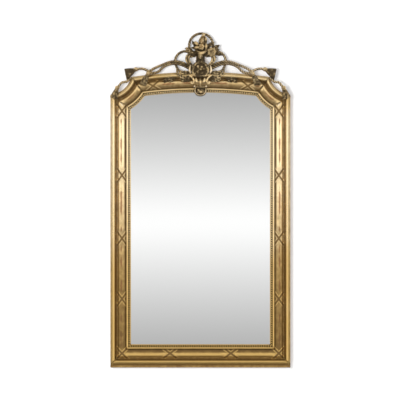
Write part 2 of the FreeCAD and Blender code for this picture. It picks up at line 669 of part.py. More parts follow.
PENDANT_RIM = CREST_RISE * PENDANT_RIM_SHARE
stem = spindle(STEM_SHARES, CREST_RISE * STEM_R_SHARE)
pendant = pendant_plate(0, PENDANT_BACK, PENDANT_FRONT - PENDANT_BACK)
pendant = pendant.cut(pendant_plate(PENDANT_RIM, PENDANT_FRONT - PENDANT_SINK, OVERRUN)).fuse(stem)
pendant_shell = carve(pendant, top_rail, top_pearls, cartouche_shield, *SCROLLS)

leaf_points = [crest_flat(place) for place in ACANTHUS_SHARES]
ACANTHUS_BACK, ACANTHUS_FRONT = [share * DEPTH for share in ACANTHUS_DEPTH_SHARES]
acanthus = slab(leaf_points[0], [leaf_points[1] + leaf_points[2], leaf_points[3] + leaf_points[4]],
                ACANTHUS_BACK, ACANTHUS_FRONT - ACANTHUS_BACK)
left_acanthus = carve(acanthus, top_rail, left_scroll, cartouche_shield)

SPRAY_BACK, SPRAY_FRONT = [share * DEPTH for share in SPRAY_DEPTH_SHARES]
SPRAY_ENDS = [(SPREAD * share, arch_height(SPREAD * share, inset))
              for share, inset in zip(SPRAY_X_SHARES, (HOLLOW_U, REED_U))]
spray = leaf(*SPRAY_ENDS, CREST_RISE * SPRAY_HALF_W_SHARE, SPRAY_BACK, SPRAY_FRONT - SPRAY_BACK)
left_spray = carve(spray, top_rail, left_acanthus, *left_ribbons)

# Bud and leaves among the flowers
tall_bud = carve(spindle(BUD_SHARES, CREST_RISE * BUD_R_SHARE), *FLOWERS)
crest_leaves = []
for base, tip in LEAF_SHARES:
    blade = leaf(crest_flat(base), crest_flat(tip), CREST_RISE * LEAF_HALF_W_SHARE,
                 LEAF_DEPTH_SHARE * DEPTH, LEAF_T)
    crest_leaves.append(carve(blade, tall_bud, cartouche_neck, crest_cleat, left_strap, right_strap,
                              *FLOWERS))

# Rope ring, loops and swags
ring_centre = crest(RING_SHARES)
ring_turns = [math.radians(turn) for turn in RING_ANGLES]
ring_points = [ring_centre + (RIGHT * math.cos(turn) + UP * math.sin(turn)) * RING_R for turn in ring_turns]
ring_path = Part.Arc(*ring_points)
ring_way = ring_path.tangent(ring_path.FirstParameter)[0]
ring_end = Part.Wire(Part.Circle(ring_points[0], ring_way, ROPE_R).toShape())
rope_ring = Part.Wire(ring_path.toShape()).makePipeShell([ring_end], True, False)
top_rope_ring = carve(rope_ring, *FLOWERS)
loop = rod([crest(place) for place in LOOP_SHARES], ROPE_R)
left_rope_loop = carve(loop, left_rosette, top_rope_ring, top_rail)
right_rope_loop = carve(mirrored(loop), right_rose, top_rope_ring, top_rail)

left_knot = carve(Part.makeSphere(KNOT_R, crest(KNOT_SHARES, HALF_W)), top_rail)
upper_strand = carve(rope(UPPER_STRAND_SHARES), cartouche_shield, left_knot, top_rail)
lower_strand = carve(rope(LOWER_STRAND_SHARES), upper_strand, cartouche_shield, left_knot, top_rail)
left_middle_tassel = carve(tassel(MIDDLE_TASSEL_SHARES, MIDDLE_TASSEL_W), left_knot, *RAILS)
left_upper_tassel = carve(tassel(UPPER_TASSEL_SHARES, UPPER_TASSEL_W), *RAILS)
left_lower_tassel = carve(tassel(LOWER_TASSEL_SHARES, LOWER_TASSEL_W), *RAILS)
left_rope_tail = carve(rope(TAIL_SHARES), left_knot, left_upper_tassel, left_middle_tassel, top_rail)
left_corner_rope = carve(rope(CORNER_ROPE_SHARES), left_lower_tassel, left_upper_tassel, *RAILS)

# Hanging rings
HANGER_X = -HALF_W + HANGER_U
HANGER_Z = ARCH_CROWN - HANGER_DROP
EYE_HALF_W = HANGER_STRAP_W / 2 + EYE_SIDE
HINGE_R = EYE_WIRE_R + HINGE_CLEARANCE
HINGE_DEPTH = -HINGE_OFFSET
plate = Part.makeBox(HANGER_STRAP_W, HANGER_STRAP_T, HANGER_STRAP_L,
                     spot(HANGER_X - HANGER_STRAP_W / 2, HANGER_Z - HANGER_STRAP_L, 0))
hinge_end = spot(HANGER_X - HANGER_STRAP_W / 2, HANGER_Z, HINGE_DEPTH)
barrel = Part.makeCylinder(HINGE_R + HINGE_WALL, HANGER_STRAP_W, hinge_end, RIGHT)
bore = Part.makeCylinder(HINGE_R, HANGER_STRAP_W + 2 * OVERRUN, hinge_end - RIGHT * OVERRUN, RIGHT)
hanger_screws = [screw(spot(HANGER_X, HANGER_Z - HANGER_STRAP_L * share, -HANGER_STRAP_T), FRONT)
                 for share in HANGER_SCREW_SHARES]
left_hanger = plate.fuse(barrel).cut([bore] + hanger_screws).Solids[0]
left_stile = left_stile.cut(hanger_screws).Solids[0]
half_eye = rod([spot(HANGER_X + across * EYE_HALF_W, HANGER_Z - down * EYE_H, HINGE_DEPTH)
                for across, down in EYE_OUTLINE_SHARES], EYE_WIRE_R)
left_ring = half_eye.fuse(half_eye.mirror(spot(HANGER_X, HANGER_Z, 0), RIGHT)).removeSplitter()

# Every piece of the mirror
PIECES = {
    "bottom_rail": bottom_rail,
    "top_rail": top_rail,
    "base_strip": base_strip,
    "bottom_pearls": bottom_pearls,
    "top_pearls": top_pearls,
    "mitre_keys": mitre_keys,
    "ribbon_crosses": ribbon_crosses,
    "mirror_glass": mirror_glass,
    "glass_blocks": glass_blocks,
    "back_boards": back_boards,
    "board_screws": board_screws,
    "crest_cleat": crest_cleat,
    "cleat_screws": cleat_screws,
    "cartouche_shield": cartouche_shield,
    "cartouche_boss": cartouche_boss,
    "cartouche_neck": cartouche_neck,
    "pendant_shell": pendant_shell,
    "main_rose": main_rose,
    "right_rose": right_rose,
    "left_rosette": left_rosette,
    "tall_bud": tall_bud,
    "crest_leaves": crest_leaves,
    "top_rope_ring": top_rope_ring,
    "left_rope_loop": left_rope_loop,
    "right_rope_loop": right_rope_loop,
    "left_strap_scroll": left_strap,
    "right_strap_scroll": right_strap,
    "hanger_screws": hanger_screws + [mirrored(fixing) for fixing in hanger_screws],
}
PAIRS = {
    "stile": left_stile,
    "corner": left_corner,
    "pearls": left_pearls,
    "corner_pearls": left_corner_pearls,
    "leaf_spray": left_spray,
    "cartouche_scroll": left_scroll,
    "acanthus": left_acanthus,
    "rope_swag": [upper_strand, lower_strand],
    "knot": left_knot,
    "rope_tail": left_rope_tail,
    "corner_rope": left_corner_rope,
    "upper_tassel": left_upper_tassel,
    "middle_tassel": left_middle_tassel,
    "lower_tassel": left_lower_tassel,
    "hanger_strap": left_hanger,
    "hanging_ring": left_ring,
}
for name, piece in PAIRS.items():
    PIECES["left_" + name] = piece
    both = isinstance(piece, list)
    PIECES["right_" + name] = [mirrored(solid) for solid in piece] if both else mirrored(piece)

os.makedirs("parts", exist_ok=True)
for name, piece in PIECES.items():
    shape = Part.makeCompound(piece) if isinstance(piece, list) else piece
    shape.exportStep("parts/" + name + ".step")
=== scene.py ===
"""Looks of a tall giltwood wall mirror: moulded frame, pearls, crossed ribbons and a carved crest."""

import logging
import math
from dataclasses import dataclass, field, fields, replace
from enum import Enum

import bpy
import numpy as np
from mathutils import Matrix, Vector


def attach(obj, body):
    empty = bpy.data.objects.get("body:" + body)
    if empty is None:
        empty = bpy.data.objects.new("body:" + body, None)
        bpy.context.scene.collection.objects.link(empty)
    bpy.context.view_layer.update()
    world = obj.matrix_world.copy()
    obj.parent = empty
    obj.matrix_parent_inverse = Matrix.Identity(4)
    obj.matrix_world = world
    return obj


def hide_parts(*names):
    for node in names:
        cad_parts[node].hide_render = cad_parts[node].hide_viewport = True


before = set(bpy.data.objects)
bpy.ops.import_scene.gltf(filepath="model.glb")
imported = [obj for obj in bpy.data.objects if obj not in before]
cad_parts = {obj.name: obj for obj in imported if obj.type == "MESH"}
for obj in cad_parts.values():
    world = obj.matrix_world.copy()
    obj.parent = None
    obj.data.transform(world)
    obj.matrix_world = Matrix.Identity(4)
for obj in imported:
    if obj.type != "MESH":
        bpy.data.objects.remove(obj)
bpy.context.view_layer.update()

Array = np.ndarray
Pair = tuple[float, float]
Triple = tuple[float, float, float]
Route = tuple[Triple, ...]
Colour = tuple[float, float, float, float]
LOG = logging.getLogger("mirror")
MM = 0.001
TURN = 2 * math.pi
FRONT = np.array([0.0, -1.0, 0.0])
BODY = "frame"


class Slot(Enum):
    """Names of material slots for new pieces; they are passed along but not used."""

    MOULDING = "gilt_moulding"
    ORNAMENT = "gilt_ornament"


class Member(Enum):
    """Members of the frame that carry the moulding on the left half or across."""

    STILE = "stile"
    CORNER = "corner"
    BOTTOM = "bottom"
    TOP = "top"


# Lines and surfaces


def unit(vectors: Array) -> Array:
    """Vectors of length one along the last axis."""
    return vectors / np.maximum(np.linalg.norm(vectors, axis=-1, keepdims=True), 1e-12)


def arc_through(start: Pair, middle: Pair, end: Pair, count: int) -> Array:
    """Points on the circle through three points: centre plus radius at even angles.

    Args:
        start: First point.
        middle: Point on the way.
        end: Last point.
        count: Number of points.

    Returns:
        Array of shape (count, 2).
    """
    p0, p1, p2 = (np.array(point, float) for point in (start, middle, end))
    system = 2 * np.stack([p1 - p0, p2 - p0])
    centre = np.linalg.solve(system, np.array([p1 @ p1 - p0 @ p0, p2 @ p2 - p0 @ p0]))
    first, last = (math.atan2(*(point - centre)[::-1]) for point in (p0, p2))
    edge, chord = p1 - p0, p2 - p1
    left_turn = edge[0] * chord[1] - edge[1] * chord[0] > 0
    sweep = (last - first) % TURN if left_turn else -((first - last) % TURN)
    angles = first + sweep * np.linspace(0, 1, count)
    radius = np.linalg.norm(p0 - centre)
    return centre + radius * np.stack([np.cos(angles), np.sin(angles)], axis=1)


def spline(points: Array, count: int) -> Array:
    """Smooth line through points: the natural cubic by chord length, at even steps of its length.

    Args:
        points: Places passed through, shape (k, 3).
        count: Number of points returned.

    Returns:
        Array of shape (count, 3).
    """
    points = np.asarray(points, float)
    size = len(points)
    gaps = np.linalg.norm(np.diff(points, axis=0), axis=1)
    knots = np.concatenate([[0.0], np.cumsum(gaps)])
    inner = np.arange(1, size - 1)
    system = np.eye(size)
    system[inner, inner - 1] = gaps[:-1]
    system[inner, inner] = 2 * (gaps[:-1] + gaps[1:])
    system[inner, inner + 1] = gaps[1:]
    right = np.zeros_like(points)
    right[inner] = 6 * np.diff(np.diff(points, axis=0) / gaps[:, None], axis=0)
    bend = np.linalg.solve(system, right)
    way = np.linspace(0, knots[-1], 8 * count)
    span = np.clip(np.searchsorted(knots, way, side="right") - 1, 0, size - 2)
    gap = gaps[span][:, None]
    a = (knots[span + 1] - way)[:, None] / gap
    b = 1 - a
    fine = a * points[span] + b * points[span + 1]
    fine += ((a**3 - a) * bend[span] + (b**3 - b) * bend[span + 1]) * gap**2 / 6
    run = np.concatenate([[0.0], np.cumsum(np.linalg.norm(np.diff(fine, axis=0), axis=1))])
    even = np.linspace(0, run[-1], count)
    return np.stack([np.interp(even, run, fine[:, axis]) for axis in range(3)], axis=1)


def mm(*sizes: float) -> tuple[float, ...]:
    """Millimetres as metres."""
    return tuple(size * MM for size in sizes)


def length_of(path: Array) -> float:
    """Length of a line of points."""
    return float(np.linalg.norm(np.diff(path, axis=0), axis=1).sum())


def bump(value: Array, centre: float, width: float) -> Array:
    """Bell curve of height one."""
    return np.exp(-(((value - centre) / width) ** 2))


@dataclass
class Surface:
    """Closed skin of four- and three-sided faces, with values kept at its points.

    recess is painted shade and grime: 0 on proud places and 1 in hollows, and below 0 it paints
    a pale highlight. wear is 1 where the leaf is rubbed most, and kind picks a face's finish.
    """

    points: Array
    quads: Array
    tris: Array
    recess: Array
    wear: Array
    quad_kind: Array
    tri_kind: Array

    @classmethod
    def from_grid(cls, points: Array, recess: Array, wear: Array | None = None,
                  kind: Array | None = None) -> "Surface":
        """Skin over a grid whose columns close on themselves, with a fan over each end.

        The faces are turned outwards by the sign of the enclosed volume, the sum of the
        tetrahedra from the origin to each face.

        Args:
            points: Grid of shape (rows, columns, 3).
            recess: Depth of recess at each grid point.
            wear: Rubbing at each grid point, none if left out.
            kind: Finish of each column of faces.

        Returns:
            The closed skin.
        """
        rows, columns = points.shape[:2]
        index = np.arange(rows * columns).reshape(rows, columns)
        after = np.roll(index, -1, axis=1)
        quads = np.stack([index[:-1], after[:-1], after[1:], index[1:]], axis=-1).reshape(-1, 4)
        first = np.full(columns, rows * columns)
        tris = np.concatenate([np.stack([first, after[0], index[0]], axis=1),
                               np.stack([first + 1, index[-1], after[-1]], axis=1)])
        flat = np.concatenate([points.reshape(-1, 3), points[:1].mean(axis=1), points[-1:].mean(axis=1)])
        wear = np.zeros((rows, columns)) if wear is None else np.broadcast_to(wear, (rows, columns))
        recess = np.broadcast_to(recess, (rows, columns))
        recess_at, wear_at = (np.concatenate([grid.ravel(), [grid[0].mean(), grid[-1].mean()]])
                              for grid in (recess, wear))
        column_kind = np.zeros(columns, int) if kind is None else kind
        made = cls(flat, quads, tris, recess_at, wear_at, np.tile(column_kind, rows - 1),
                   np.zeros(len(tris), int))
        return made.turned() if made.volume() < 0 else made

    @classmethod
    def joined(cls, parts: list["Surface"]) -> "Surface":
        """Several skins as one mesh.

        Args:
            parts: The skins, in order.

        Returns:
            One skin, each part's faces counted on past the points before it.
        """
        starts = np.cumsum([0] + [len(part.points) for part in parts])
        moved = [replace(part, quads=part.quads + start, tris=part.tris + start)
                 for part, start in zip(parts, starts)]
        return cls(*(np.concatenate([getattr(part, item.name) for part in moved]) for item in fields(cls)))

    def volume(self) -> float:
        """Signed volume inside the skin.

        Returns:
            Sum of the tetrahedra from the origin to each face.
        """
        faces = np.concatenate([self.quads[:, [0, 1, 2]], self.quads[:, [0, 2, 3]], self.tris])
        a, b, c = (self.points[faces[:, i]] for i in range(3))
        return float(np.einsum("ij,ij->i", a, np.cross(b, c)).sum() / 6)

    def turned(self) -> "Surface":
        """The same skin with every face looking the other way."""
        return replace(self, quads=self.quads[:, ::-1], tris=self.tris[:, ::-1])

    def mirrored(self) -> "Surface":
        """The skin on the other side of the middle, still facing outwards."""
        return replace(self.turned(), points=self.points * np.array([-1.0, 1.0, 1.0]))

    def to_object(self, name: str, materials: list[bpy.types.Material]) -> bpy.types.Object:
        """Mesh object at the origin, shaded smooth, with its recess and wear attributes.

        Args:
            name: Name of the piece.
            materials: Finishes in the order of the face kinds.

        Returns:
            The new object, linked to the scene.
        """
        mesh = bpy.data.meshes.new(name)
        mesh.vertices.add(len(self.points))
        mesh.vertices.foreach_set("co", self.points.astype(np.float32).ravel())
        corners = np.concatenate([self.quads.ravel(), self.tris.ravel()]).astype(np.int32)
        mesh.loops.add(len(corners))
        mesh.loops.foreach_set("vertex_index", corners)
        starts = np.concatenate([np.arange(len(self.quads)) * 4,
                                 self.quads.size + np.arange(len(self.tris)) * 3]).astype(np.int32)
        mesh.polygons.add(len(starts))
        mesh.polygons.foreach_set("loop_start", starts)
        mesh.polygons.foreach_set("material_index",
                                  np.concatenate([self.quad_kind, self.tri_kind]).astype(np.int32))
        mesh.polygons.foreach_set("use_smooth", np.ones(len(starts), bool))
        for label, values in (("recess", self.recess), ("wear", self.wear)):
            layer = mesh.attributes.new(label, "FLOAT", "POINT")
            layer.data.foreach_set("value", values.astype(np.float32))
        for material in materials:
            mesh.materials.append(material)
        mesh.update(calc_edges=True)
        mesh.validate()
        made = bpy.data.objects.new(name, mesh)
        bpy.context.scene.collection.objects.link(made)
        return made


def swept(path: Array, aside: Array, outward: Array, recess: Array) -> Surface:
    """Section carried along a path: each point is the path plus its offsets aside and outward.

    The side direction is square to the path and to the view, and the outward one completes it.

    Args:
        path: Points of the path, shape (rows, 3).
        aside: Offsets across, shape (rows, columns).
        outward: Offsets toward the viewer, shape (rows, columns).
        recess: Depth of recess at each grid point.

    Returns:
        The closed skin.
    """
    along = unit(np.gradient(path, axis=0))
    side = unit(np.cross(along, FRONT))
    out = np.cross(side, along)
    points = path[:, None] + side[:, None] * aside[..., None] + out[:, None] * outward[..., None]
    return Surface.from_grid(points, recess)


def relief(centre: Array, outline: Array, shares: Array, heights: Array, recess: Array) -> Surface:
    """Carving seen from the front: rows are the outline shrunk to shares, each at its own height.

    Args:
        centre: Middle of the carving.
        outline: Points round it in the front view, from the centre, shape (columns, 2).
        shares: Share of the outline for each row, shape (rows,).
        heights: Height toward the viewer at each grid point, shape (rows, columns).
        recess: Depth of recess at each grid point.

    Returns:
        The closed skin.
    """
    flat = shares[:, None, None] * outline[None]
    points = centre + np.stack([flat[..., 0], -heights, flat[..., 1]], axis=-1)
    return Surface.from_grid(points, recess)


def around(count: int) -> Array:
    """Even angles of one full turn."""
    return np.linspace(0, TURN, count, endpoint=False)


def round_bead(radius: float, columns: int = 8, rows: int = 5, shade: float = 0.0,
               flat: float = 1.0) -> Surface:
    """Small ball about the origin, by latitude and longitude, flattened toward the viewer.

    Args:
        radius: Radius of the ball.
        columns: Points round it.
        rows: Rings of points between its poles.
        shade: Recess added all over.
        flat: Share of the radius that it stands proud.

    Returns:
        The skin.
    """
    lift = np.linspace(-0.5, 0.5, rows + 2)[1:-1, None] * math.pi
    turn = around(columns)[None]
    points = radius * np.stack([np.cos(lift) * np.cos(turn), -flat * np.sin(lift) + 0 * turn,
                                np.cos(lift) * np.sin(turn)], axis=-1)
    # Painted shade on the ball's back half plus the shade given; a shade below zero paints a highlight.
    low = np.clip(-np.sin(lift), 0, 1) + shade + 0 * turn
    return Surface.from_grid(points, low)


def scattered(part: Surface, places: Array) -> Surface:
    """One small shape repeated at many places, as one mesh.

    Args:
        part: Shape about the origin.
        places: Where it goes, shape (count, 3).

    Returns:
        The joined skin.
    """
    count = len(places)
    starts = np.arange(count)[:, None, None] * len(part.points)
    return Surface((part.points[None] + places[:, None]).reshape(-1, 3),
                   (part.quads[None] + starts).reshape(-1, 4), (part.tris[None] + starts).reshape(-1, 3),
                   np.tile(part.recess, count), np.tile(part.wear, count),
                   np.tile(part.quad_kind, count), np.tile(part.tri_kind, count))


# Finishes

WHITE: Colour = (1.0, 1.0, 1.0, 1.0)
# Pale tint of painted highlights.
PAINTED_HIGHLIGHT_TINT: Colour = (1.0, 0.92, 0.78, 1.0)
SHEETS_PER_METRE = 11.9


class Graph:
    """Short way to add and join the nodes of one tree."""

    def __init__(self, tree: bpy.types.NodeTree) -> None:
        """Start from a tree."""
        self.tree = tree

    def feed(self, made: bpy.types.Node, inputs: dict) -> None:
        """Set or join inputs of a node.

        Args:
            made: The node.
            inputs: Value or socket for each input, by name or number.
        """
        for key, value in inputs.items():
            if isinstance(value, bpy.types.NodeSocket):
                self.tree.links.new(value, made.inputs[key])
            else:
                made.inputs[key].default_value = value

    def node(self, kind: str, inputs: dict | None = None, **settings: object) -> bpy.types.Node:
        """Add a node, set its properties, and set or join its inputs.

        Args:
            kind: Node type.
            inputs: Value or socket for each input, by name or number.
            **settings: Properties of the node.

        Returns:
            The new node.
        """
        made = self.tree.nodes.new(kind)
        for name, value in settings.items():
            setattr(made, name, value)
        self.feed(made, inputs or {})
        return made

    def place(self) -> bpy.types.NodeSocket:
        """Object coordinates."""
        return self.node("ShaderNodeTexCoord").outputs["Object"]

    def along(self, place: object, axis: int) -> bpy.types.NodeSocket:
        """One of a place's three coordinates."""
        return self.node("ShaderNodeSeparateXYZ", {0: place}).outputs[axis]

    def math(self, operation: str, a: object, b: object = 0.0) -> bpy.types.NodeSocket:
        """One sum of two values."""
        return self.node("ShaderNodeMath", {0: a, 1: b}, operation=operation).outputs[0]

    def weighted(self, *terms: tuple[object, object]) -> bpy.types.NodeSocket:
        """Sum of values times weights.

        Args:
            *terms: Pairs of value and weight.

        Returns:
            The sum, added up in the order given.
        """
        total, *others = (self.math("MULTIPLY", value, weight) for value, weight in terms)
        for other in others:
            total = self.math("ADD", total, other)
        return total

    def smooth(self, value: object, low: float, high: float, start: float = 0.0,
               end: float = 1.0) -> bpy.types.NodeSocket:
        """Soft step between two levels."""
        inputs = {"Value": value, "From Min": low, "From Max": high, "To Min": start, "To Max": end}
        return self.node("ShaderNodeMapRange", inputs, interpolation_type="SMOOTHSTEP").outputs[0]

    def mix(self, share: object, a: object, b: object) -> bpy.types.NodeSocket:
        """Colour between two colours."""
        return self.node("ShaderNodeMix", {0: share, 6: a, 7: b}, data_type="RGBA").outputs[2]

    def noise(self, place: object, scale: float, detail: float = 4.0,
              rough: float = 0.55) -> bpy.types.NodeSocket:
        """Cloudy value over the surface."""
        inputs = {"Vector": place, "Scale": scale, "Detail": detail, "Roughness": rough}
        return self.node("ShaderNodeTexNoise", inputs).outputs[0]

    def stretched(self, place: object, scale: Triple) -> bpy.types.NodeSocket:
        """Place drawn out along the axes."""
        return self.node("ShaderNodeMapping", {"Vector": place, "Scale": scale}).outputs[0]

    def grain(self, height: object, strength: float, distance: float) -> bpy.types.NodeSocket:
        """Normal of a fine relief."""
        inputs = {"Height": height, "Strength": strength, "Distance": distance}
        return self.node("ShaderNodeBump", inputs).outputs[0]


def group_tree(name: str, takes: dict[str, str], gives: dict[str, str]) -> tuple[Graph, dict, bpy.types.Node]:
    """Empty shader node group with named sockets.

    Args:
        name: Name of the group.
        takes: Socket type of each input.
        gives: Socket type of each output.

    Returns:
        Graph to build in, the input sockets by name, and the output node.
    """
    tree = bpy.data.node_groups.new(name, "ShaderNodeTree")
    for label, kind in takes.items():
        tree.interface.new_socket(label, in_out="INPUT", socket_type="NodeSocket" + kind)
    for label, kind in gives.items():
        tree.interface.new_socket(label, in_out="OUTPUT", socket_type="NodeSocket" + kind)
    graph = Graph(tree)
    entry = graph.node("NodeGroupInput")
    return graph, {label: entry.outputs[label] for label in takes}, graph.node("NodeGroupOutput")


def aged_leaf_group() -> bpy.types.NodeTree:
    """Gold leaf on red clay, rubbed on proud places, with painted shade and grime in recesses.

    The leaf dulls toward the crown and takes painted shade toward the foot, shows a lap where
    its sheets meet, and takes a pale painted highlight where the recess is below zero.

    Returns:
        The node group.
    """
    takes = {"Place": "Vector", "Recess": "Float", "Wear": "Float", "Bright": "Color", "Deep": "Color",
             "Clay": "Color", "Shade_and_grime": "Color", "Shade_and_dirt": "Float", "Mottle": "Float"}
    gives = {"Colour": "Color", "Metal": "Float", "Roughness": "Float", "Height": "Float"}
    graph, given, out = group_tree("aged leaf", takes, gives)
    place = given["Place"]
    broad = graph.noise(place, 5.0, 3.0)
    patch = graph.noise(place, 42.0, 5.0, 0.62)
    fine = graph.noise(place, 380.0, 3.0)
    speck = graph.math("SUBTRACT", graph.noise(place, 88.0, 2.0), 0.5)
    height = graph.along(place, 2)
    # Painted shade: the leaf turns toward the deep colour low down; it also dulls at random and toward the
    # crown.
    foot = graph.smooth(height, 0.1, 1.3, 0.75, 0.0)
    crown = graph.smooth(height, 1.2, 1.36, 0.0, 0.42)
    dull_and_foot_shade = graph.math("ADD", graph.math("MULTIPLY", broad, 0.6), graph.math("ADD", foot, crown))
    dull_and_foot_shade = graph.smooth(dull_and_foot_shade, 0.25, 1.05)
    clay = graph.smooth(graph.weighted((given["Wear"], 0.72), (patch, 0.5)), 0.52, 0.8)
    cloud = graph.math("SUBTRACT", patch, 0.5)
    # Painted shade in recesses, with grime and random mottling, sets how far the colour goes to the dark
    # shade-and-grime colour.
    shade_grime_and_mottle = graph.weighted((given["Recess"], 0.85), (cloud, 0.5), (speck, given["Mottle"]))
    shade_and_grime = graph.smooth(graph.math("ADD", shade_grime_and_mottle, given["Shade_and_dirt"]), 0.16, 0.86)
    sheet = graph.math("FRACT", graph.weighted((height, SHEETS_PER_METRE), (patch, 0.16)))
    lap = graph.smooth(graph.math("ABSOLUTE", graph.math("SUBTRACT", sheet, 0.5)), 0.0, 0.03, 0.3, 0.0)
    # Painted highlight: where the recess is below zero the colour turns toward the pale tint, less where the
    # leaf is dull.
    painted_highlight = graph.smooth(given["Recess"], -0.3, -0.02, 0.7, 0.0)
    painted_highlight = graph.math("MULTIPLY", painted_highlight, graph.math("SUBTRACT", 1.0, dull_and_foot_shade))
    colour = graph.mix(dull_and_foot_shade, given["Bright"], given["Deep"])
    colour = graph.mix(painted_highlight, colour, PAINTED_HIGHLIGHT_TINT)
    # Rubbed clay and sheet laps are the leaf's own; the last mix is painted shade and grime.
    for mask, strength, tint in ((clay, 0.8, "Clay"), (lap, 0.6, "Deep"), (shade_and_grime, 0.94, "Shade_and_grime")):
        colour = graph.mix(graph.math("MULTIPLY", mask, strength), colour, given[tint])
    rough = graph.weighted((patch, 0.12), (shade_and_grime, 0.24), (clay, 0.14), (dull_and_foot_shade, 0.1))
    graph.feed(out, {"Colour": colour,
                     "Metal": graph.math("SUBTRACT", 1.0, graph.weighted((shade_and_grime, 0.3), (clay, 0.25))),
                     "Roughness": graph.math("ADD", rough, 0.16),
                     "Height": graph.weighted((patch, 0.5), (fine, 0.35), (lap, 0.25))})
    return graph.tree


def tarnish_group() -> bpy.types.NodeTree:
    """Cloudy dark film and fine scratches for small metal fittings.

    Returns:
        The node group.
    """
    graph, given, out = group_tree("tarnish", {"Place": "Vector", "Clean": "Color", "Film": "Color"},
                                   {"Colour": "Color", "Roughness": "Float", "Height": "Float"})
    cloud = graph.smooth(graph.noise(given["Place"], 90.0, 5.0, 0.6), 0.35, 0.72)
    scratch = graph.noise(graph.stretched(given["Place"], (900.0, 900.0, 60.0)), 1.0, 3.0)
    rough = graph.math("ADD", graph.weighted((cloud, 0.25), (scratch, 0.25)), 0.16)
    graph.feed(out, {"Colour": graph.mix(cloud, given["Clean"], given["Film"]), "Roughness": rough,
                     "Height": scratch})
    return graph.tree


@dataclass(frozen=True)
class Finish:
    """What every finish shares: its name."""

    name: str

    def start(self) -> tuple[bpy.types.Material, Graph, bpy.types.Node]:
        """New material.

        Returns:
            The material, its graph and its shader.
        """
        material = bpy.data.materials.new(self.name)
        material.use_nodes = True
        return material, Graph(material.node_tree), material.node_tree.nodes["Principled BSDF"]


@dataclass(frozen=True)
class GiltFinish(Finish):
    """Old gold leaf over red clay; painted shade grows toward the back by its shade, over an even level of
    shade and dirt.
    """

    bright: Colour
    deep: Colour
    clay: Colour
    shade_and_grime: Colour
    shade_and_dirt: float
    shade: float
    grain: float
    mottle: float

    def material(self, leaf: bpy.types.NodeTree) -> bpy.types.Material:
        """Material that places the leaf group.

        Args:
            leaf: The aged leaf group.

        Returns:
            The new material.
        """
        material, graph, shader = self.start()
        place = graph.place()
        # Painted shade: darker toward the back, from the even level up by the shade.
        shade_and_dirt = graph.smooth(graph.along(place, 1), -0.05, 0.005, self.shade_and_dirt, self.shade_and_dirt + self.shade)
        values = {"Place": place, "Bright": self.bright, "Deep": self.deep, "Clay": self.clay,
                  "Shade_and_grime": self.shade_and_grime, "Shade_and_dirt": shade_and_dirt, "Mottle": self.mottle}
        for label in ("Recess", "Wear"):
            values[label] = graph.node("ShaderNodeAttribute", attribute_name=label.lower()).outputs["Fac"]
        placed = graph.node("ShaderNodeGroup", values, node_tree=leaf).outputs
        graph.feed(shader, {"Base Color": placed["Colour"], "Metallic": placed["Metal"],
                            "Roughness": placed["Roughness"],
                            "Normal": graph.grain(placed["Height"], self.grain, 0.6 * MM)})
        return material


@dataclass(frozen=True)
class PineFinish(Finish):
    """Old bare pine, darkened by age, with its grain upright or, on the rails, level."""

    pale: Colour
    dark: Colour
    board_width: float
    level: bool = False

    def material(self) -> bpy.types.Material:
        """Material with long grain that wanders and jumps from board to board, ageing and pores.

        Returns:
            The new material.
        """
        material, graph, shader = self.start()
        place = graph.place()
        if self.level:
            quarter = (0.0, math.pi / 2, 0.0)
            place = graph.node("ShaderNodeMapping", {"Vector": place, "Rotation": quarter}).outputs[0]
        board = graph.math("FLOOR", graph.math("DIVIDE", graph.along(place, 0), self.board_width))
        wander = graph.noise(graph.stretched(place, (9.0, 9.0, 2.0)), 1.0, 2.0)
        shift = graph.node("ShaderNodeCombineXYZ", {0: graph.weighted((wander, 4.0), (board, 5.3)),
                                                    2: graph.math("MULTIPLY", board, 2.1)}).outputs[0]
        drawn = graph.stretched(place, (42.0, 42.0, 1.6))
        drawn = graph.node("ShaderNodeVectorMath", {0: drawn, 1: shift}, operation="ADD").outputs[0]
        rings = {"Vector": drawn, "Scale": 0.5, "Distortion": 5.0, "Detail": 3.0, "Detail Scale": 0.6}
        ring = graph.node("ShaderNodeTexWave", rings).outputs["Fac"]
        pore = graph.noise(graph.stretched(place, (700.0, 700.0, 22.0)), 1.0, 3.0)
        age = graph.smooth(graph.noise(place, 4.0, 4.0), 0.3, 0.75)
        tone = graph.math("SINE", graph.math("MULTIPLY", board, 12.9))
        share = graph.weighted((ring, 0.45), (age, 0.4), (pore, 0.15), (tone, 0.15))
        graph.feed(shader, {"Base Color": graph.mix(share, self.pale, self.dark),
                            "Roughness": graph.smooth(pore, 0.2, 0.8, 0.62, 0.85),
                            "Normal": graph.grain(graph.math("ADD", pore, ring), 0.3, 0.5 * MM)})
        return material


@dataclass(frozen=True)
class MetalFinish(Finish):
    """Dull metal fittings."""

    clean: Colour
    film: Colour

    def material(self, tarnish: bpy.types.NodeTree) -> bpy.types.Material:
        """Material that places the tarnish group.

        Args:
            tarnish: The tarnish group.

        Returns:
            The new material.
        """
        material, graph, shader = self.start()
        values = {"Place": graph.place(), "Clean": self.clean, "Film": self.film}
        placed = graph.node("ShaderNodeGroup", values, node_tree=tarnish).outputs
        graph.feed(shader, {"Base Color": placed["Colour"], "Roughness": placed["Roughness"],
                            "Metallic": 1.0, "Normal": graph.grain(placed["Height"], 0.2, 0.2 * MM)})
        return material


@dataclass(frozen=True)
class SilverFinish(Finish):
    """Silvered glass with a breath of unevenness."""

    colour: Colour

    def material(self) -> bpy.types.Material:
        """Mirror with a very slight cloudiness of its roughness.

        Returns:
            The new material.
        """
        material, graph, shader = self.start()
        cloud = graph.noise(graph.place(), 9.0, 3.0)
        graph.feed(shader, {"Base Color": self.colour, "Metallic": 1.0,
                            "Roughness": graph.smooth(cloud, 0.3, 0.8, 0.012, 0.03)})
        return material


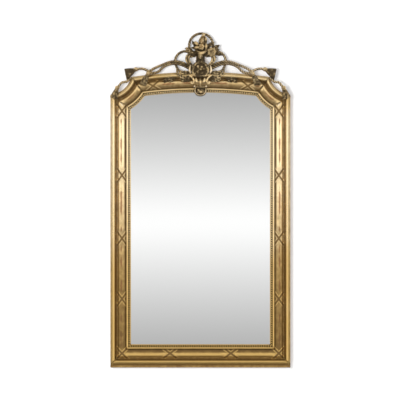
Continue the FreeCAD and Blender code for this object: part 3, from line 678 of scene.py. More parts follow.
@dataclass(frozen=True)
class WallFinish(Finish):
    """Matt white that glows a little, and is clear from behind."""

    white: float
    glow: float

    def material(self) -> bpy.types.Material:
        """White shader, changed for a clear one on the wall's back.

        Returns:
            The new material.
        """
        material, graph, shader = self.start()
        graph.feed(shader, {"Base Color": (self.white, self.white, self.white, 1), "Roughness": 1.0,
                            "Specular IOR Level": 0.0, "Emission Color": WHITE,
                            "Emission Strength": self.glow})
        behind = graph.node("ShaderNodeNewGeometry").outputs["Backfacing"]
        clear = graph.node("ShaderNodeBsdfTransparent").outputs[0]
        blend = graph.node("ShaderNodeMixShader", {0: behind, 1: shader.outputs[0], 2: clear}).outputs[0]
        graph.feed(material.node_tree.nodes["Material Output"], {"Surface": blend})
        return material


@dataclass(frozen=True)
class FloorFinish(Finish):
    """Pale floor with faint clouds."""

    low: Colour
    high: Colour
    glow: float

    def material(self) -> bpy.types.Material:
        """Two pale tones mixed by a slow noise, with a glow.

        Returns:
            The new material.
        """
        material, graph, shader = self.start()
        cloud = graph.smooth(graph.noise(graph.place(), 1.3), 0.3, 0.7)
        graph.feed(shader, {"Base Color": graph.mix(cloud, self.low, self.high), "Roughness": 0.9,
                            "Emission Color": WHITE, "Emission Strength": self.glow})
        return material


@dataclass
class Palette:
    """All finishes of the mirror, made once."""

    moulding: bpy.types.Material
    ornament: bpy.types.Material
    pine: bpy.types.Material
    level_pine: bpy.types.Material
    brass: bpy.types.Material
    steel: bpy.types.Material
    silver: bpy.types.Material

    @classmethod
    def made(cls) -> "Palette":
        """Build the shared groups and every material.

        Returns:
            The palette.
        """
        leaf = aged_leaf_group()
        tarnish = tarnish_group()
        moulding = GiltFinish("burnished leaf", bright=(0.92, 0.73, 0.44, 1), deep=(0.6, 0.39, 0.13, 1),
                              clay=(0.36, 0.15, 0.06, 1), shade_and_grime=(0.16, 0.088, 0.025, 1),
                              shade_and_dirt=0.0, shade=0.0, grain=0.12, mottle=0.0)
        ornament = GiltFinish("darkened leaf", bright=(0.95, 0.74, 0.42, 1), deep=(0.62, 0.42, 0.18, 1),
                              clay=(0.24, 0.11, 0.045, 1), shade_and_grime=(0.03, 0.017, 0.006, 1),
                              shade_and_dirt=0.12, shade=0.45, grain=0.3, mottle=1.9)
        pine, level_pine = (PineFinish(name, (0.46, 0.29, 0.14, 1), (0.2, 0.11, 0.05, 1), 190 * MM, level)
                            for name, level in (("old pine", False), ("old level pine", True)))
        brass = MetalFinish("dull brass", (0.72, 0.5, 0.2, 1), (0.3, 0.19, 0.07, 1))
        steel = MetalFinish("screw steel", (0.42, 0.4, 0.38, 1), (0.16, 0.13, 0.1, 1))
        silver = SilverFinish("silvered glass", (0.985, 0.99, 0.985, 1))
        return cls(moulding.material(leaf), ornament.material(leaf), pine.material(), level_pine.material(),
                   brass.material(tarnish), steel.material(tarnish), silver.material())


# Frame


@dataclass(frozen=True)
class FrameLines:
    """Lines of the frame seen from the front, at a distance in from its outer edge."""

    half_width: float = 450 * MM
    base_height: float = 13 * MM
    crown: float = 1478 * MM
    arch_radius: float = 2430 * MM
    corner_radius: float = 116 * MM
    corner_outset: float = 9 * MM
    corner_lift: float = 3 * MM
    back: float = 23 * MM

    @property
    def arch_z(self) -> float:
        """Height of the arch's centre."""
        return self.crown - self.arch_radius

    @property
    def corner(self) -> Array:
        """Centre of the left hollowed corner in the front view."""
        return np.array([-self.half_width - self.corner_outset, self.crown + self.corner_lift])

    def foot(self, inset: Array) -> Array:
        """Lower left corner at each inset."""
        return np.stack([inset - self.half_width, inset + self.base_height], axis=-1)

    def stile_end(self, inset: Array) -> Array:
        """Where the left stile meets the hollowed corner."""
        reach = np.sqrt((self.corner_radius + inset) ** 2 - (self.corner_outset + inset) ** 2)
        return np.stack([inset - self.half_width, self.corner[1] - reach], axis=-1)

    def rail_end(self, inset: Array) -> Array:
        """Where the hollowed corner meets the arched rail: right-hand crossing of two circles.

        Args:
            inset: Distances in from the outer edge.

        Returns:
            Places in the front view, shape (..., 2).
        """
        step = np.array([0.0, self.arch_z]) - self.corner
        gap = np.linalg.norm(step)
        way = step / gap
        r0 = self.corner_radius + inset
        r1 = self.arch_radius - inset
        along = (r0**2 - r1**2 + gap**2) / (2 * gap)
        off = np.sqrt(r0**2 - along**2)
        return self.corner + along[..., None] * way + off[..., None] * np.array([-way[1], way[0]])

    def line(self, member: Member, inset: Array, way: Array) -> Array:
        """Places along a member, each inset on its own line between the mitres.

        Args:
            member: Which member.
            inset: Distances in from the outer edge, shape (columns,).
            way: Shares of the way along, shape (rows,).

        Returns:
            Places in the front view, shape (rows, columns, 2).
        """
        share = way[:, None]
        if member is Member.CORNER:
            first, last = (np.arctan2(*np.moveaxis(ends - self.corner, -1, 0)[::-1])
                           for ends in (self.stile_end(inset), self.rail_end(inset)))
            angle = first + (last - first) * share
            reach = self.corner_radius + inset
            return self.corner + np.stack([np.cos(angle) * reach, np.sin(angle) * reach], axis=-1)
        if member is Member.TOP:
            end = self.rail_end(inset)
            angle = np.arctan2(end[:, 0], end[:, 1] - self.arch_z) * (1 - 2 * share)
            reach = self.arch_radius - inset
            return np.stack([np.sin(angle) * reach, np.cos(angle) * reach + self.arch_z], axis=-1)
        start = self.foot(inset)
        end = self.stile_end(inset) if member is Member.STILE else start * np.array([-1.0, 1.0])
        return start + (end - start) * share[..., None]

    def inset_at(self, member: Member, flat: Array) -> Array:
        """Distance in from the outer edge at places of the front view.

        Args:
            member: Member that carries the places; the corner stands for the lower mitre.
            flat: Places, shape (..., 2).

        Returns:
            Insets of the same shape.
        """
        upright = flat[..., 0] + self.half_width
        level = flat[..., 1] - self.base_height
        if member is Member.STILE:
            return upright
        if member is Member.BOTTOM:
            return level
        if member is Member.TOP:
            return self.arch_radius - np.hypot(flat[..., 0], flat[..., 1] - self.arch_z)
        return np.minimum(upright, level)

    def space(self, flat: Array, depth: Array) -> Array:
        """Points from places in the front view and heights off the back."""
        depth = np.broadcast_to(depth, flat.shape[:-1])
        return np.stack([flat[..., 0], self.back - depth, flat[..., 1]], axis=-1)


LINES = FrameLines()


@dataclass
class Assembly:
    """Group of pieces that share their finishes and a dressing routine."""

    palette: Palette

    def add(self, node: str, surface: Surface, materials: list[bpy.types.Material], slot: Slot) -> None:
        """Make one piece, put it on the frame in place of its CAD node, and report it.

        Args:
            node: CAD node that the piece stands for.
            surface: Its skin.
            materials: Its finishes.
            slot: Not used.
        """
        piece = surface.to_object("carved_" + node, materials)
        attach(piece, BODY)
        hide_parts(node)
        LOG.info("%s: %d faces", piece.name, len(surface.quads) + len(surface.tris))

    def add_pair(self, name: str, surface: Surface, materials: list[bpy.types.Material], slot: Slot) -> None:
        """Make a left piece and its mirror image."""
        self.add("left_" + name, surface, materials, slot)
        self.add("right_" + name, surface.mirrored(), materials, slot)

    def add_carved(self, single: dict[str, Surface], paired: dict[str, Surface]) -> None:
        """Make carvings of darkened leaf, first those that stand alone and then the pairs.

        Args:
            single: Skin of each piece that stands alone.
            paired: Skin of each left piece that has a mirror image.
        """
        finish = [self.palette.ornament]
        for node, surface in single.items():
            self.add(node, surface, finish, Slot.ORNAMENT)
        for name, surface in paired.items():
            self.add_pair(name, surface, finish, Slot.ORNAMENT)


@dataclass(frozen=True)
class MouldingSection:
    """Section of the moulding, from the outside in: widths across and heights off the back."""

    back_gap: float = 0.4 * MM
    edge: Pair = (7 * MM, 42 * MM)
    roll_width: float = 18 * MM
    roll: Pair = (49 * MM, 57 * MM)
    hollow: Pair = (13 * MM, 28 * MM)
    hollow_mid: Pair = (3.25 * MM, 4.2 * MM)
    reed: Pair = (40 * MM, 17 * MM)
    quirk: Pair = (1.5 * MM, 27 * MM)
    slip: Pair = (9 * MM, 34 * MM)
    pearl: Pair = (10.5 * MM, 22 * MM)
    glass_seat: float = 16 * MM
    rebate: float = 13 * MM
    board: Pair = (16 * MM, 8 * MM)
    ease: float = 0.7 * MM
    squareness: float = 2.5
    crown_share: float = 0.39
    pinch: float = 4.5 * MM
    pinch_reach: float = 30 * MM

    @property
    def reed_start(self) -> float:
        """Inset of the reed's outer side."""
        return self.edge[0] + self.roll_width + self.hollow[0]

    @property
    def reed_middle(self) -> float:
        """Inset of the reed's middle."""
        return self.reed_start + self.reed[0] / 2

    @property
    def slip_start(self) -> float:
        """Inset of the slip's outer side."""
        return self.reed_start + self.reed[0] + self.quirk[0]

    @property
    def pearl_start(self) -> float:
        """Inset where the pearls' seat begins."""
        return self.slip_start + self.slip[0]

    @property
    def width(self) -> float:
        """Width of the whole moulding."""
        return self.pearl_start + self.pearl[0]

    def reed_height(self, inset: Array) -> Array:
        """Height of the reed: one less a power of the way across, all to the inverse power.

        The way across is first raised to a power of its own, which draws the crown outwards.

        Args:
            inset: Distances in from the outer edge.

        Returns:
            Heights off the back.
        """
        share = np.clip((inset - self.reed_start) / self.reed[0], 0, 1)
        across = np.abs(2 * share ** (math.log(0.5) / math.log(self.crown_share)) - 1)
        rise = np.clip(1 - across**self.squareness, 0, 1) ** (1 / self.squareness)
        return self.hollow[1] + self.reed[1] * rise

    def waist(self, inset: Array, gap: Array) -> tuple[Array, Array]:
        """Waist of the reed where ribbons cross it: it sinks first at its sides and last at its crown.

        Args:
            inset: Distances in from the outer edge.
            gap: Distances from the nearest cross.

        Returns:
            Share of the waist at each place, and how far the reed sinks there.
        """
        aside = np.abs(inset - self.reed_start - self.reed[0] / 2) / (self.reed[0] / 2)
        share = (aside < 1) * np.clip(1.5 - gap / self.pinch_reach + 0.5 * aside, 0, 1)
        return share, self.pinch * share * (1 - np.minimum(aside, 1) ** 4)

    def outline(self) -> Array:
        """Closed section: straight runs and arcs, with each sharp corner eased by two points.

        Returns:
            Inset and height of each point, shape (k, 2).
        """
        e_w, e_h = self.edge
        shoulder, crown = self.roll
        h_u = e_w + self.roll_width
        floor = self.hollow[1]
        r_u = self.reed_start
        q_u = r_u + self.reed[0]
        s_u = self.slip_start
        p_u = self.pearl_start
        end = self.width
        rebate = end - self.rebate
        lap = rebate - self.board[0]
        low = self.back_gap
        reed_line = (r_u + q_u) / 2 - np.cos(np.linspace(0, math.pi, 31)) * self.reed[0] / 2
        runs = [[(0, low), (0, e_h), (e_w, e_h)],
                arc_through((e_w, shoulder), (e_w + self.roll_width / 2, crown), (h_u, shoulder), 15),
                arc_through((h_u, shoulder), (h_u + self.hollow_mid[0], floor + self.hollow_mid[1]),
                            (r_u, floor), 11)[1:],
                np.stack([reed_line, self.reed_height(reed_line)], axis=1)[1:],
                [(q_u, self.quirk[1]), (s_u, self.quirk[1]), (s_u, self.slip[1]), (p_u, self.slip[1]),
                 (p_u, self.pearl[1]), (end, self.pearl[1]), (end, self.glass_seat),
                 (rebate, self.glass_seat), (rebate, self.board[1]), (lap, self.board[1]), (lap, low)]]
        return eased(np.concatenate([np.array(run, float) for run in runs]), self.ease)

    def recess(self, outline: Array, member: Member) -> Array:
        """Painted shade and grime: full in the hollow, the quirk, the pearls' seat and the reed's inner side.

        Args:
            outline: Closed section of inset and height.
            member: Which member; the reed takes more painted shade under the crest.

        Returns:
            Recess at each point of the section.
        """
        inset, height = outline.T / MM
        # Painted shade and painted highlight by inset for each member: the reed's darker inner side and crown
        # and its pale streaks (values below zero) follow how light falls.
        outer_marks = [0, 6, 7.5, 10, 22, 25, 30]
        reed_marks = [38, 42, 46, 52, 58, 64, 68, 74]
        inner_marks = [78, 79.6, 80.4, 81.4, 87, 88.2, 88.8, 99]
        outers = {Member.STILE: [.6, .6, .5, .05, .05, .3, .68], Member.BOTTOM: [1, .15, .1, .1, .3, .5, .68]}
        reeds = {Member.STILE: [.75, .1, -.3, .1, -.2, -.3, .4, .95],
                 Member.BOTTOM: [.7, .55, -.45, -.45, .45, .75, .88, .95]}
        reed = reeds.get(member, [.8, .0, .1, .5, .7, .75, .78, .85])
        slip = -.1 if member in reeds else -.3
        outer = outers.get(member, [.6, .6, .5, -.1, -.1, .5, .9])
        depth = outer + reed + [.9, .9, .3, slip, slip, .3, 1, 1]
        behind = height < self.glass_seat / MM + 1
        return np.where(behind, 1.0, np.interp(inset, outer_marks + reed_marks + inner_marks, depth))

    def wear(self, outline: Array) -> Array:
        """Rubbing on the crowns of the roll, the reed and the slip."""
        inset = outline[:, 0] / MM
        return 0.3 * bump(inset, 16, 4) + bump(inset, 54, 6) + 0.25 * bump(inset, 85, 3)

    def kind(self, outline: Array) -> Array:
        """Gilt on what shows from the front, bare wood behind."""
        after = np.roll(outline, -1, axis=0)
        return (np.maximum(outline[:, 1], after[:, 1]) < self.glass_seat + 0.1 * MM).astype(int)


def eased(points: Array, reach: float, sharp: float = 0.4) -> Array:
    """Closed line with each sharp corner replaced by two points a little before and after it.

    Args:
        points: Corners of the line, shape (k, 2).
        reach: Distance from the corner, at most two fifths of the run.
        sharp: Turn in radians from which a corner counts as sharp.

    Returns:
        The eased line.
    """
    ahead = np.roll(points, -1, axis=0) - points
    length = np.linalg.norm(ahead, axis=1)
    way = ahead / length[:, None]
    before = np.roll(way, 1, axis=0)
    turn = np.arccos(np.clip((before * way).sum(axis=1), -1, 1))
    cut = np.where(turn > sharp, 1.0, 0.0)
    back = np.minimum(reach, 0.4 * np.roll(length, 1)) * cut
    on = np.minimum(reach, 0.4 * length) * cut
    both = np.stack([points - before * back[:, None], points + way * on[:, None]], axis=1)
    keep = np.stack([np.ones(len(points), bool), cut > 0], axis=1)
    return both[keep]


@dataclass(frozen=True)
class CrossPlan:
    """Where ribbons cross the reed, as shares of the crown's height and of the half width."""

    stile_shares: tuple[float, ...] = (0.2324, 0.437, 0.6505, 0.868)
    bottom_share: float = 0.338
    top_share: float = 0.527

    def middles(self, section: MouldingSection, member: Member) -> Array:
        """Middles of the crosses on a member of the left half or across.

        Args:
            section: Section that gives the reed's middle.
            member: Which member.

        Returns:
            Places in the front view, shape (count, 2).
        """
        reed = section.reed_middle
        foot = LINES.foot(np.array(reed))
        if member is Member.STILE:
            return np.array([foot] + [(foot[0], LINES.crown * share) for share in self.stile_shares])
        if member is Member.CORNER:
            return np.array([(foot[0], LINES.crown * self.stile_shares[-1])])
        across = LINES.half_width * (self.bottom_share if member is Member.BOTTOM else self.top_share)
        if member is Member.BOTTOM:
            return np.array([foot, (-across, foot[1]), (across, foot[1]), (-foot[0], foot[1])])
        rise = LINES.arch_z + math.sqrt((LINES.arch_radius - reed) ** 2 - across**2)
        return np.array([(-across, rise), (across, rise)])


CROSSES = CrossPlan()


@dataclass
class FrameMoulding(Assembly):
    """Stiles, rails, hollowed corners and the strip under the bottom rail."""

    section: MouldingSection = field(default_factory=MouldingSection)
    step: float = 9 * MM
    waver: float = 0.08 * MM
    dull_below: float = 1050 * MM
    low_shade: float = 0.84
    painted_glint: float = 1.2
    painted_glint_reach: float = 9 * MM
    wavelets: tuple = ((31, 0.05, 1, 1.0), (67, 0.11, 2, 0.7), (149, -0.17, 0, 0.4))
    streaks: tuple = ((43, 1), (71, 3), (27, -1))
    rubbed: Pair = (0.62, 0.3)
    base_depth: float = 46 * MM
    base_round: float = 4 * MM

    def run(self, member: Member, outline: Array) -> tuple[Array, Array]:
        """Grid of a section carried along a member, and the way along each row.

        Args:
            member: Which member.
            outline: Closed section of inset and height.

        Returns:
            Points of shape (rows, columns, 3) and lengths of shape (rows,).
        """
        middle = LINES.line(member, outline[:, 0].mean(keepdims=True), np.linspace(0, 1, 60))[:, 0]
        length = length_of(middle)
        way = np.linspace(0, 1, max(8, round(length / self.step)))
        flat = LINES.line(member, outline[:, 0], way)
        return LINES.space(flat, outline[:, 1]), way * length

    def member(self, member: Member, phase: float, crosses: Array) -> Surface:
        """One moulded member, its front wandering a little as hand work does.

        Height is the section plus a few slow waves of the way along and the inset; the reed sinks
        to a waist where ribbons cross it, first at its sides and last at its crown. The stiles'
        reed takes painted shade low down, and a painted highlight beside the upper mitres.

        Args:
            member: Which member.
            phase: Start of the waves.
            crosses: Middles of its ribbon crosses in the front view, shape (count, 2).

        Returns:
            The skin.
        """
        outline = self.section.outline()
        points, way = self.run(member, outline)
        inset = outline[:, 0] / MM
        waves = sum(height * np.sin(way[:, None] * pace + inset * drift + start * phase)
                    for pace, drift, start, height in self.wavelets)
        proud = np.clip((outline[:, 1] - self.section.pearl[1]) / (4 * MM), 0, 1)
        points[..., 1] -= self.waver * waves * proud
        on_reed = outline[:, 1] > self.section.hollow[1]
        gap = np.full(points.shape[:2], 1.0)
        for cross in crosses:
            gap = np.minimum(gap, np.hypot(points[..., 0] - cross[0], points[..., 2] - cross[1]))
        waist, sunk = self.section.waist(outline[:, 0], gap)
        points[..., 1] += sunk * on_reed
        streak = sum(np.sin(way * pace + start * phase) for pace, start in self.streaks)
        rub = np.clip(self.rubbed[0] + self.rubbed[1] * streak, 0, 1)[:, None]
        wear = self.section.wear(outline) * rub * (1 - waist)
        wear = wear * (0.5 if member is Member.BOTTOM else 1.0)
        # Painted shade where the reed sinks to its waist under the ribbons.
        recess = np.maximum(self.section.recess(outline, member), 0.25 * waist * on_reed)
        # Painted shade: the stiles' reed darkens toward the foot.
        if member is Member.STILE:
            low = np.clip((self.dull_below - points[..., 2]) / self.dull_below, 0, 1)
            reed = on_reed * (np.abs(outline[:, 0] - self.section.reed_middle) < self.section.reed[0] / 2)
            recess = np.maximum(recess, reed * self.low_shade * np.sqrt(low) - (1 - reed))
        # Painted highlight on the reed's crown beside the upper mitres, kept clear of rubbed clay.
        if member in (Member.STILE, Member.CORNER):
            to_end = way[-1] - way
            from_mitre = to_end if member is Member.STILE else np.minimum(way, to_end)
            near = bump(from_mitre, 0, self.painted_glint_reach)[:, None]
            crown = bump(outline[:, 0], self.section.reed_middle, self.painted_glint_reach)
            recess = recess - self.painted_glint * near * crown
            wear = wear * (1 - near)
        return Surface.from_grid(points, recess, wear, self.section.kind(outline))

    def base_strip(self) -> Surface:
        """Strip under the bottom rail: a rectangle with rounded front corners along the width.

        Returns:
            The skin.
        """
        deep, high, bend = self.base_depth, LINES.base_height, self.base_round
        cut = bend * (1 - math.sqrt(0.5))
        lower = arc_through((deep - bend, 0), (deep - cut, cut), (deep, bend), 7)
        upper = np.array([0.0, high]) + lower[::-1] * np.array([1.0, -1.0])
        outline = eased(np.concatenate([[[0.0, high], [0.0, 0.0]], lower, upper]), 0.5 * MM)
        across = np.linspace(-LINES.half_width, LINES.half_width, 90)[:, None] + 0 * outline[:, 0]
        flat = np.stack([across, np.broadcast_to(outline[:, 1], across.shape)], axis=-1)
        front = bump(outline[:, 0], deep, 6 * MM)
        # Painted shade all over the strip under the rail, a little less on its rounded front.
        return Surface.from_grid(LINES.space(flat, outline[:, 0]), 0.75 - 0.1 * front, 0.5 * front)

    def build(self) -> None:
        """Make and dress every member."""
        finishes = [self.palette.moulding, self.palette.pine]
        level = [self.palette.moulding, self.palette.level_pine]
        phases = {Member.STILE: 0.3, Member.CORNER: 1.1, Member.BOTTOM: 2.2, Member.TOP: 3.1}
        for member, phase in phases.items():
            surface = self.member(member, phase, CROSSES.middles(self.section, member))
            if member in (Member.STILE, Member.CORNER):
                self.add_pair(member.value, surface, finishes, Slot.MOULDING)
            else:
                self.add(member.value + "_rail", surface, level, Slot.MOULDING)
        self.add("base_strip", self.base_strip(), level, Slot.MOULDING)


@dataclass
class SightPearls(Assembly):
    """Strip with a row of small pearls along the sight edge."""

    moulding: FrameMoulding
    radius: float = 4.0 * MM
    pitch: float = 11.4 * MM
    inset: float = 93.4 * MM
    seat: float = 27.0 * MM
    flat: float = 0.25
    shade: float = 0.1
    lip_start: float = 98.0 * MM
    lip_shade: float = 0.22
    strip: tuple[Pair, ...] = ((88.7, 22.2), (88.7, 26.4), (98.0, 26.4), (98.3, 27.6), (101.0, 27.6),
                               (101.6, 22.2))

    def course(self, member: Member) -> Surface:
        """Strip carried along a member, with balls at an even pitch on it.

        Args:
            member: Which member.

        Returns:
            The joined skin.
        """
        outline = eased(np.array(self.strip) * MM, 0.4 * MM)
        points, _ = self.moulding.run(member, outline)
        on_lip = outline[:, 0] > self.lip_start
        # Painted shade on the floor between the pearls, lighter on the lip.
        base = Surface.from_grid(points, np.where(on_lip, self.lip_shade, 1.0), kind=np.where(on_lip, 0, 1))
        inset = np.array([self.inset])
        count = round(length_of(LINES.line(member, inset, np.linspace(0, 1, 80))[:, 0]) / self.pitch)
        flat = LINES.line(member, inset, (np.arange(count) + 0.5) / count)[:, 0]
        pearl = round_bead(self.radius, shade=self.shade, flat=self.flat)
        return Surface.joined([base, scattered(pearl, LINES.space(flat, self.seat))])

    def build(self) -> None:
        """Make and dress every course."""
        finish = [self.palette.moulding, self.palette.ornament]
        for name, member in (("pearls", Member.STILE), ("corner_pearls", Member.CORNER)):
            self.add_pair(name, self.course(member), finish, Slot.MOULDING)
        for member in (Member.BOTTOM, Member.TOP):
            self.add(member.value + "_pearls", self.course(member), finish, Slot.MOULDING)


@dataclass
class RibbonCrosses(Assembly):
    """Crossed ribbons laid over the reed."""

    section: MouldingSection = field(default_factory=MouldingSection)
    length: float = 82 * MM
    corner_length: float = 98 * MM
    width: float = 19 * MM
    thickness: float = 2.6 * MM
    lean: float = math.radians(36)

    def band(self, member: Member, centre: Array, angles: Pair) -> Surface:
        """One ribbon: a straight band in the front view whose height follows the waisted reed.

        Across the band the top sinks between two raised edges, and also along the other ribbon's
        middle, so that the two dark channels cross; the underside lies in the reed.

        Args:
            member: Member that carries it.
            centre: Middle of the band in the front view.
            angles: Angles from upright of this band and of the one that crosses it.

        Returns:
            The skin.
        """
        length = self.corner_length if member is Member.CORNER else self.length
        way = np.linspace(-0.5, 0.5, 40)[:, None] * length
        turn = around(18)[None]
        aside = np.cos(turn) * self.width / 2
        along = np.array([math.sin(angles[0]), math.cos(angles[0])])
        square, other = (np.array([math.cos(angle), -math.sin(angle)]) for angle in angles)
        flat = centre + way[..., None] * along + aside[..., None] * square
        inset = LINES.inset_at(member, flat)
        rim = np.clip(np.sin(turn), 0, 1) ** 0.5
        channel = np.maximum(*(bump(off / self.width, 0, 0.3) for off in (aside, (flat - centre) @ other)))
        channel = channel * (np.sin(turn) > 0)
        proud = self.thickness * (rim * (1 - 0.6 * channel)) - 0.8 * MM * (np.sin(turn) < 0)
        sunk = self.section.waist(inset, np.abs(way))[1]
        depth = self.section.reed_height(inset) - sunk + proud
        # Painted shade in the channels, a slight painted highlight elsewhere.
        return Surface.from_grid(LINES.space(flat, depth), 1.5 * channel - 0.1)

    def build(self) -> None:
        """Make the left half's crosses and mirror them."""
        bands = []
        for member in (Member.STILE, Member.BOTTOM, Member.TOP):
            for middle in CROSSES.middles(self.section, member):
                if middle[0] > 0:
                    continue
                foot = abs(LINES.inset_at(Member.STILE, middle) - LINES.inset_at(Member.BOTTOM, middle)) < MM
                if foot and member is Member.BOTTOM:
                    continue
                upright = math.pi / 2 + math.asin(middle[0] / LINES.arch_radius) * (member is Member.TOP)
                along = 0.0 if member is Member.STILE else upright
                lean = math.radians(45) if foot else self.lean
                carrier = Member.CORNER if foot else member
                turns = [(along + side * lean, along - side * lean) for side in (-1, 1)]
                bands += [self.band(carrier, middle, angles) for angles in turns]
        left = Surface.joined(bands)
        both = Surface.joined([left, left.mirrored()])
        self.add("ribbon_crosses", both, [self.palette.moulding], Slot.ORNAMENT)


# Crest


@dataclass(frozen=True)
class CrestPlan:
    """Turns shares of the half width, the crest's rise and the moulding's depth into points."""

    spread: float = 450 * MM
    rise: float = 200 * MM
    depth: float = 57 * MM

    def at(self, shares: object) -> Array:
        """Points from shares, shape (..., 3)."""
        across, up, out = np.moveaxis(np.asarray(shares, float), -1, 0)
        return np.stack([across * self.spread, LINES.back - out * self.depth,
                         LINES.crown + up * self.rise], axis=-1)


PLAN = CrestPlan()


@dataclass(frozen=True)
class Rope:
    """Three-strand rope carved along a line."""

    route: Route
    radius: float = 6.5 * MM
    lay: float = 39 * MM
    shade: float = 0.0
    root: float = 0.66
    swell: float = 0.39
    sides: int = 18

    def surface(self) -> Surface:
        """Rope: radius falls off between three strands that turn once in each lay.

        Returns:
            The skin.
        """
        return self.along(spline(PLAN.at(self.route), 200))

    def along(self, path: Array) -> Surface:
        """Rope along points of a smooth line.

        Args:
            path: Points of the line, shape (k, 3).

        Returns:
            The skin.
        """
        length = length_of(path)
        rows = max(10, round(length / (2.0 * MM)))
        path = spline(path[:: max(1, len(path) // 60)], rows)
        way = np.linspace(0, length, rows)[:, None]
        turn = around(self.sides)[None]
        ridge = np.abs(np.cos(1.5 * (turn - TURN * way / self.lay)))
        reach = self.radius * (self.root + self.swell * ridge**0.8)
        # Painted shade in the grooves between strands and painted highlight on their ridges; the shade
        # darkens the start of the route.
        return swept(path, reach * np.cos(turn), reach * np.sin(turn),
                     np.clip(2.6 * (1 - ridge) - 0.45 + self.shade * bump(way / length, 0, 0.35), -0.35, 1))


@dataclass(frozen=True)
class Band:
    """Channelled strap or scroll that tapers along a line."""

    route: Route
    half_widths: tuple[float, ...]
    thickness: float = 5 * MM
    channel: float = 0.6
    rows: int = 60
    dark: float = 1.0
    shades: Pair = (0.0, 0.0)
    sides: int = 24

    def surface(self) -> Surface:
        """Flat oval section whose front sinks along the middle, carried along a smooth line.

        Returns:
            The skin.
        """
        path = spline(PLAN.at(self.route), self.rows)
        way = np.linspace(0, 1, self.rows)
        half = np.interp(way, np.linspace(0, 1, len(self.half_widths)), self.half_widths)[:, None]
        turn = around(self.sides)[None]
        front = np.clip(np.sin(turn), 0, 1)
        sunk = self.channel * bump(np.cos(turn), 0, 0.45) * front
        thick = self.thickness * np.minimum(1, half / (3 * MM))
        outward = thick * (np.sign(np.sin(turn)) * np.abs(np.sin(turn)) ** 0.7 - sunk)
        # Painted shade in the channel and on the back and a painted highlight on the front, with the shades
        # added from start to end.
        recess = (self.dark + 0.3) * sunk / max(self.channel, 0.1) + 0.6 * (1 - front) - 0.3
        recess = recess + np.linspace(*self.shades, self.rows)[:, None]
        return swept(path, half * np.cos(turn), outward, recess)


@dataclass(frozen=True)
class Leaf:
    """Carved leaf or petal about a spine."""

    spine: Route
    half_width: float
    thickness: float = 4 * MM
    lobes: int = 0
    notch: float = 0.3
    fullness: float = 0.45
    cup: float = 0.25
    shade: float = 0.0
    rows: int = 34
    sides: int = 26

    def surface(self) -> Surface:
        """Leaf: width is a sine of the way along, scalloped by its lobes; the front has a sunk
        midrib and a swelling for each lobe, and the margins curl toward the viewer.

        Returns:
            The skin.
        """
        return self.along(PLAN.at(self.spine))

    def along(self, spine: Array) -> Surface:
        """Leaf on a spine given in metres.

        Args:
            spine: Points of the spine, shape (k, 3).

        Returns:
            The skin.
        """
        path = spline(spine, self.rows)
        way = np.linspace(0, 1, self.rows)[:, None]
        power = math.log(0.5) / math.log(self.fullness)
        width = np.clip(np.sin(math.pi * way**power), 0, 1) ** 0.75
        width = self.half_width * (0.05 + 0.95 * width)
        turn = around(self.sides)[None]
        across = np.cos(turn)
        front = np.clip(np.sin(turn), 0, 1)
        swing = np.ones_like(way)
        if self.lobes:
            swing = np.abs(np.sin(math.pi * self.lobes * (way - 0.12 * np.abs(across))))
        margin = 1 - self.notch * (1 - swing) * np.abs(across) ** 2
        rib = bump(across, 0, 0.16)
        swell = (0.35 + 0.65 * swing) * (1 - 0.75 * rib)
        outward = self.thickness * (front * (0.45 + 0.75 * swell) - 0.6 * np.clip(-np.sin(turn), 0, 1))
        outward = outward + self.cup * width * (np.abs(across) ** 2 - 0.5)
        # Painted shade on the midrib, between the lobes, on the back and toward the base, a slight painted
        # highlight elsewhere, plus the leaf's shade.
        recess = np.clip(0.9 * rib * front + 0.8 * (1 - swing) * front + 0.6 * (1 - front)
                         + 0.9 * bump(way, 0, 0.3) - 0.2 + self.shade, -0.2, 1)
        return swept(path, width * margin * across, outward, recess)


@dataclass(frozen=True)
class Petals:
    """One ring of petals about a flower's middle."""

    count: int
    reach: float
    half_width: float
    lift: float
    curl: float
    turn: float = 0.0
    fullness: float = 0.6


@dataclass(frozen=True)
class Blossom:
    """Flower of rings of petals round a domed eye."""

    middle: Triple
    rings: tuple[Petals, ...]
    eye: float
    shade: float = 0.0
    eye_shade: float = 0.5

    def surface(self) -> Surface:
        """Each petal is a leaf from near the eye outwards, lifted at its middle and curled at its tip.

        Returns:
            The joined skin.
        """
        centre = PLAN.at(self.middle)
        eye = round_bead(self.eye, 14, 9, self.eye_shade)
        parts = [scattered(eye, centre[None] + FRONT * self.eye * 0.5)]
        for ring in self.rings:
            for angle in around(ring.count) + ring.turn:
                way = np.array([math.cos(angle), 0.0, math.sin(angle)])
                shares = np.array([0.12, 0.4, 0.75, 1.0])[:, None]
                heights = np.array([0.1, 0.8, 1.0, 1.0])[:, None] * ring.lift
                heights = heights + np.array([0.0, 0.0, 0.15, 1.0])[:, None] * ring.curl
                spine = centre + way * ring.reach * shares + FRONT * heights
                petal = Leaf((), ring.half_width, 2.6 * MM, fullness=ring.fullness, cup=0.35,
                             shade=self.shade, rows=18)
                parts.append(petal.along(spine))
        return Surface.joined(parts)


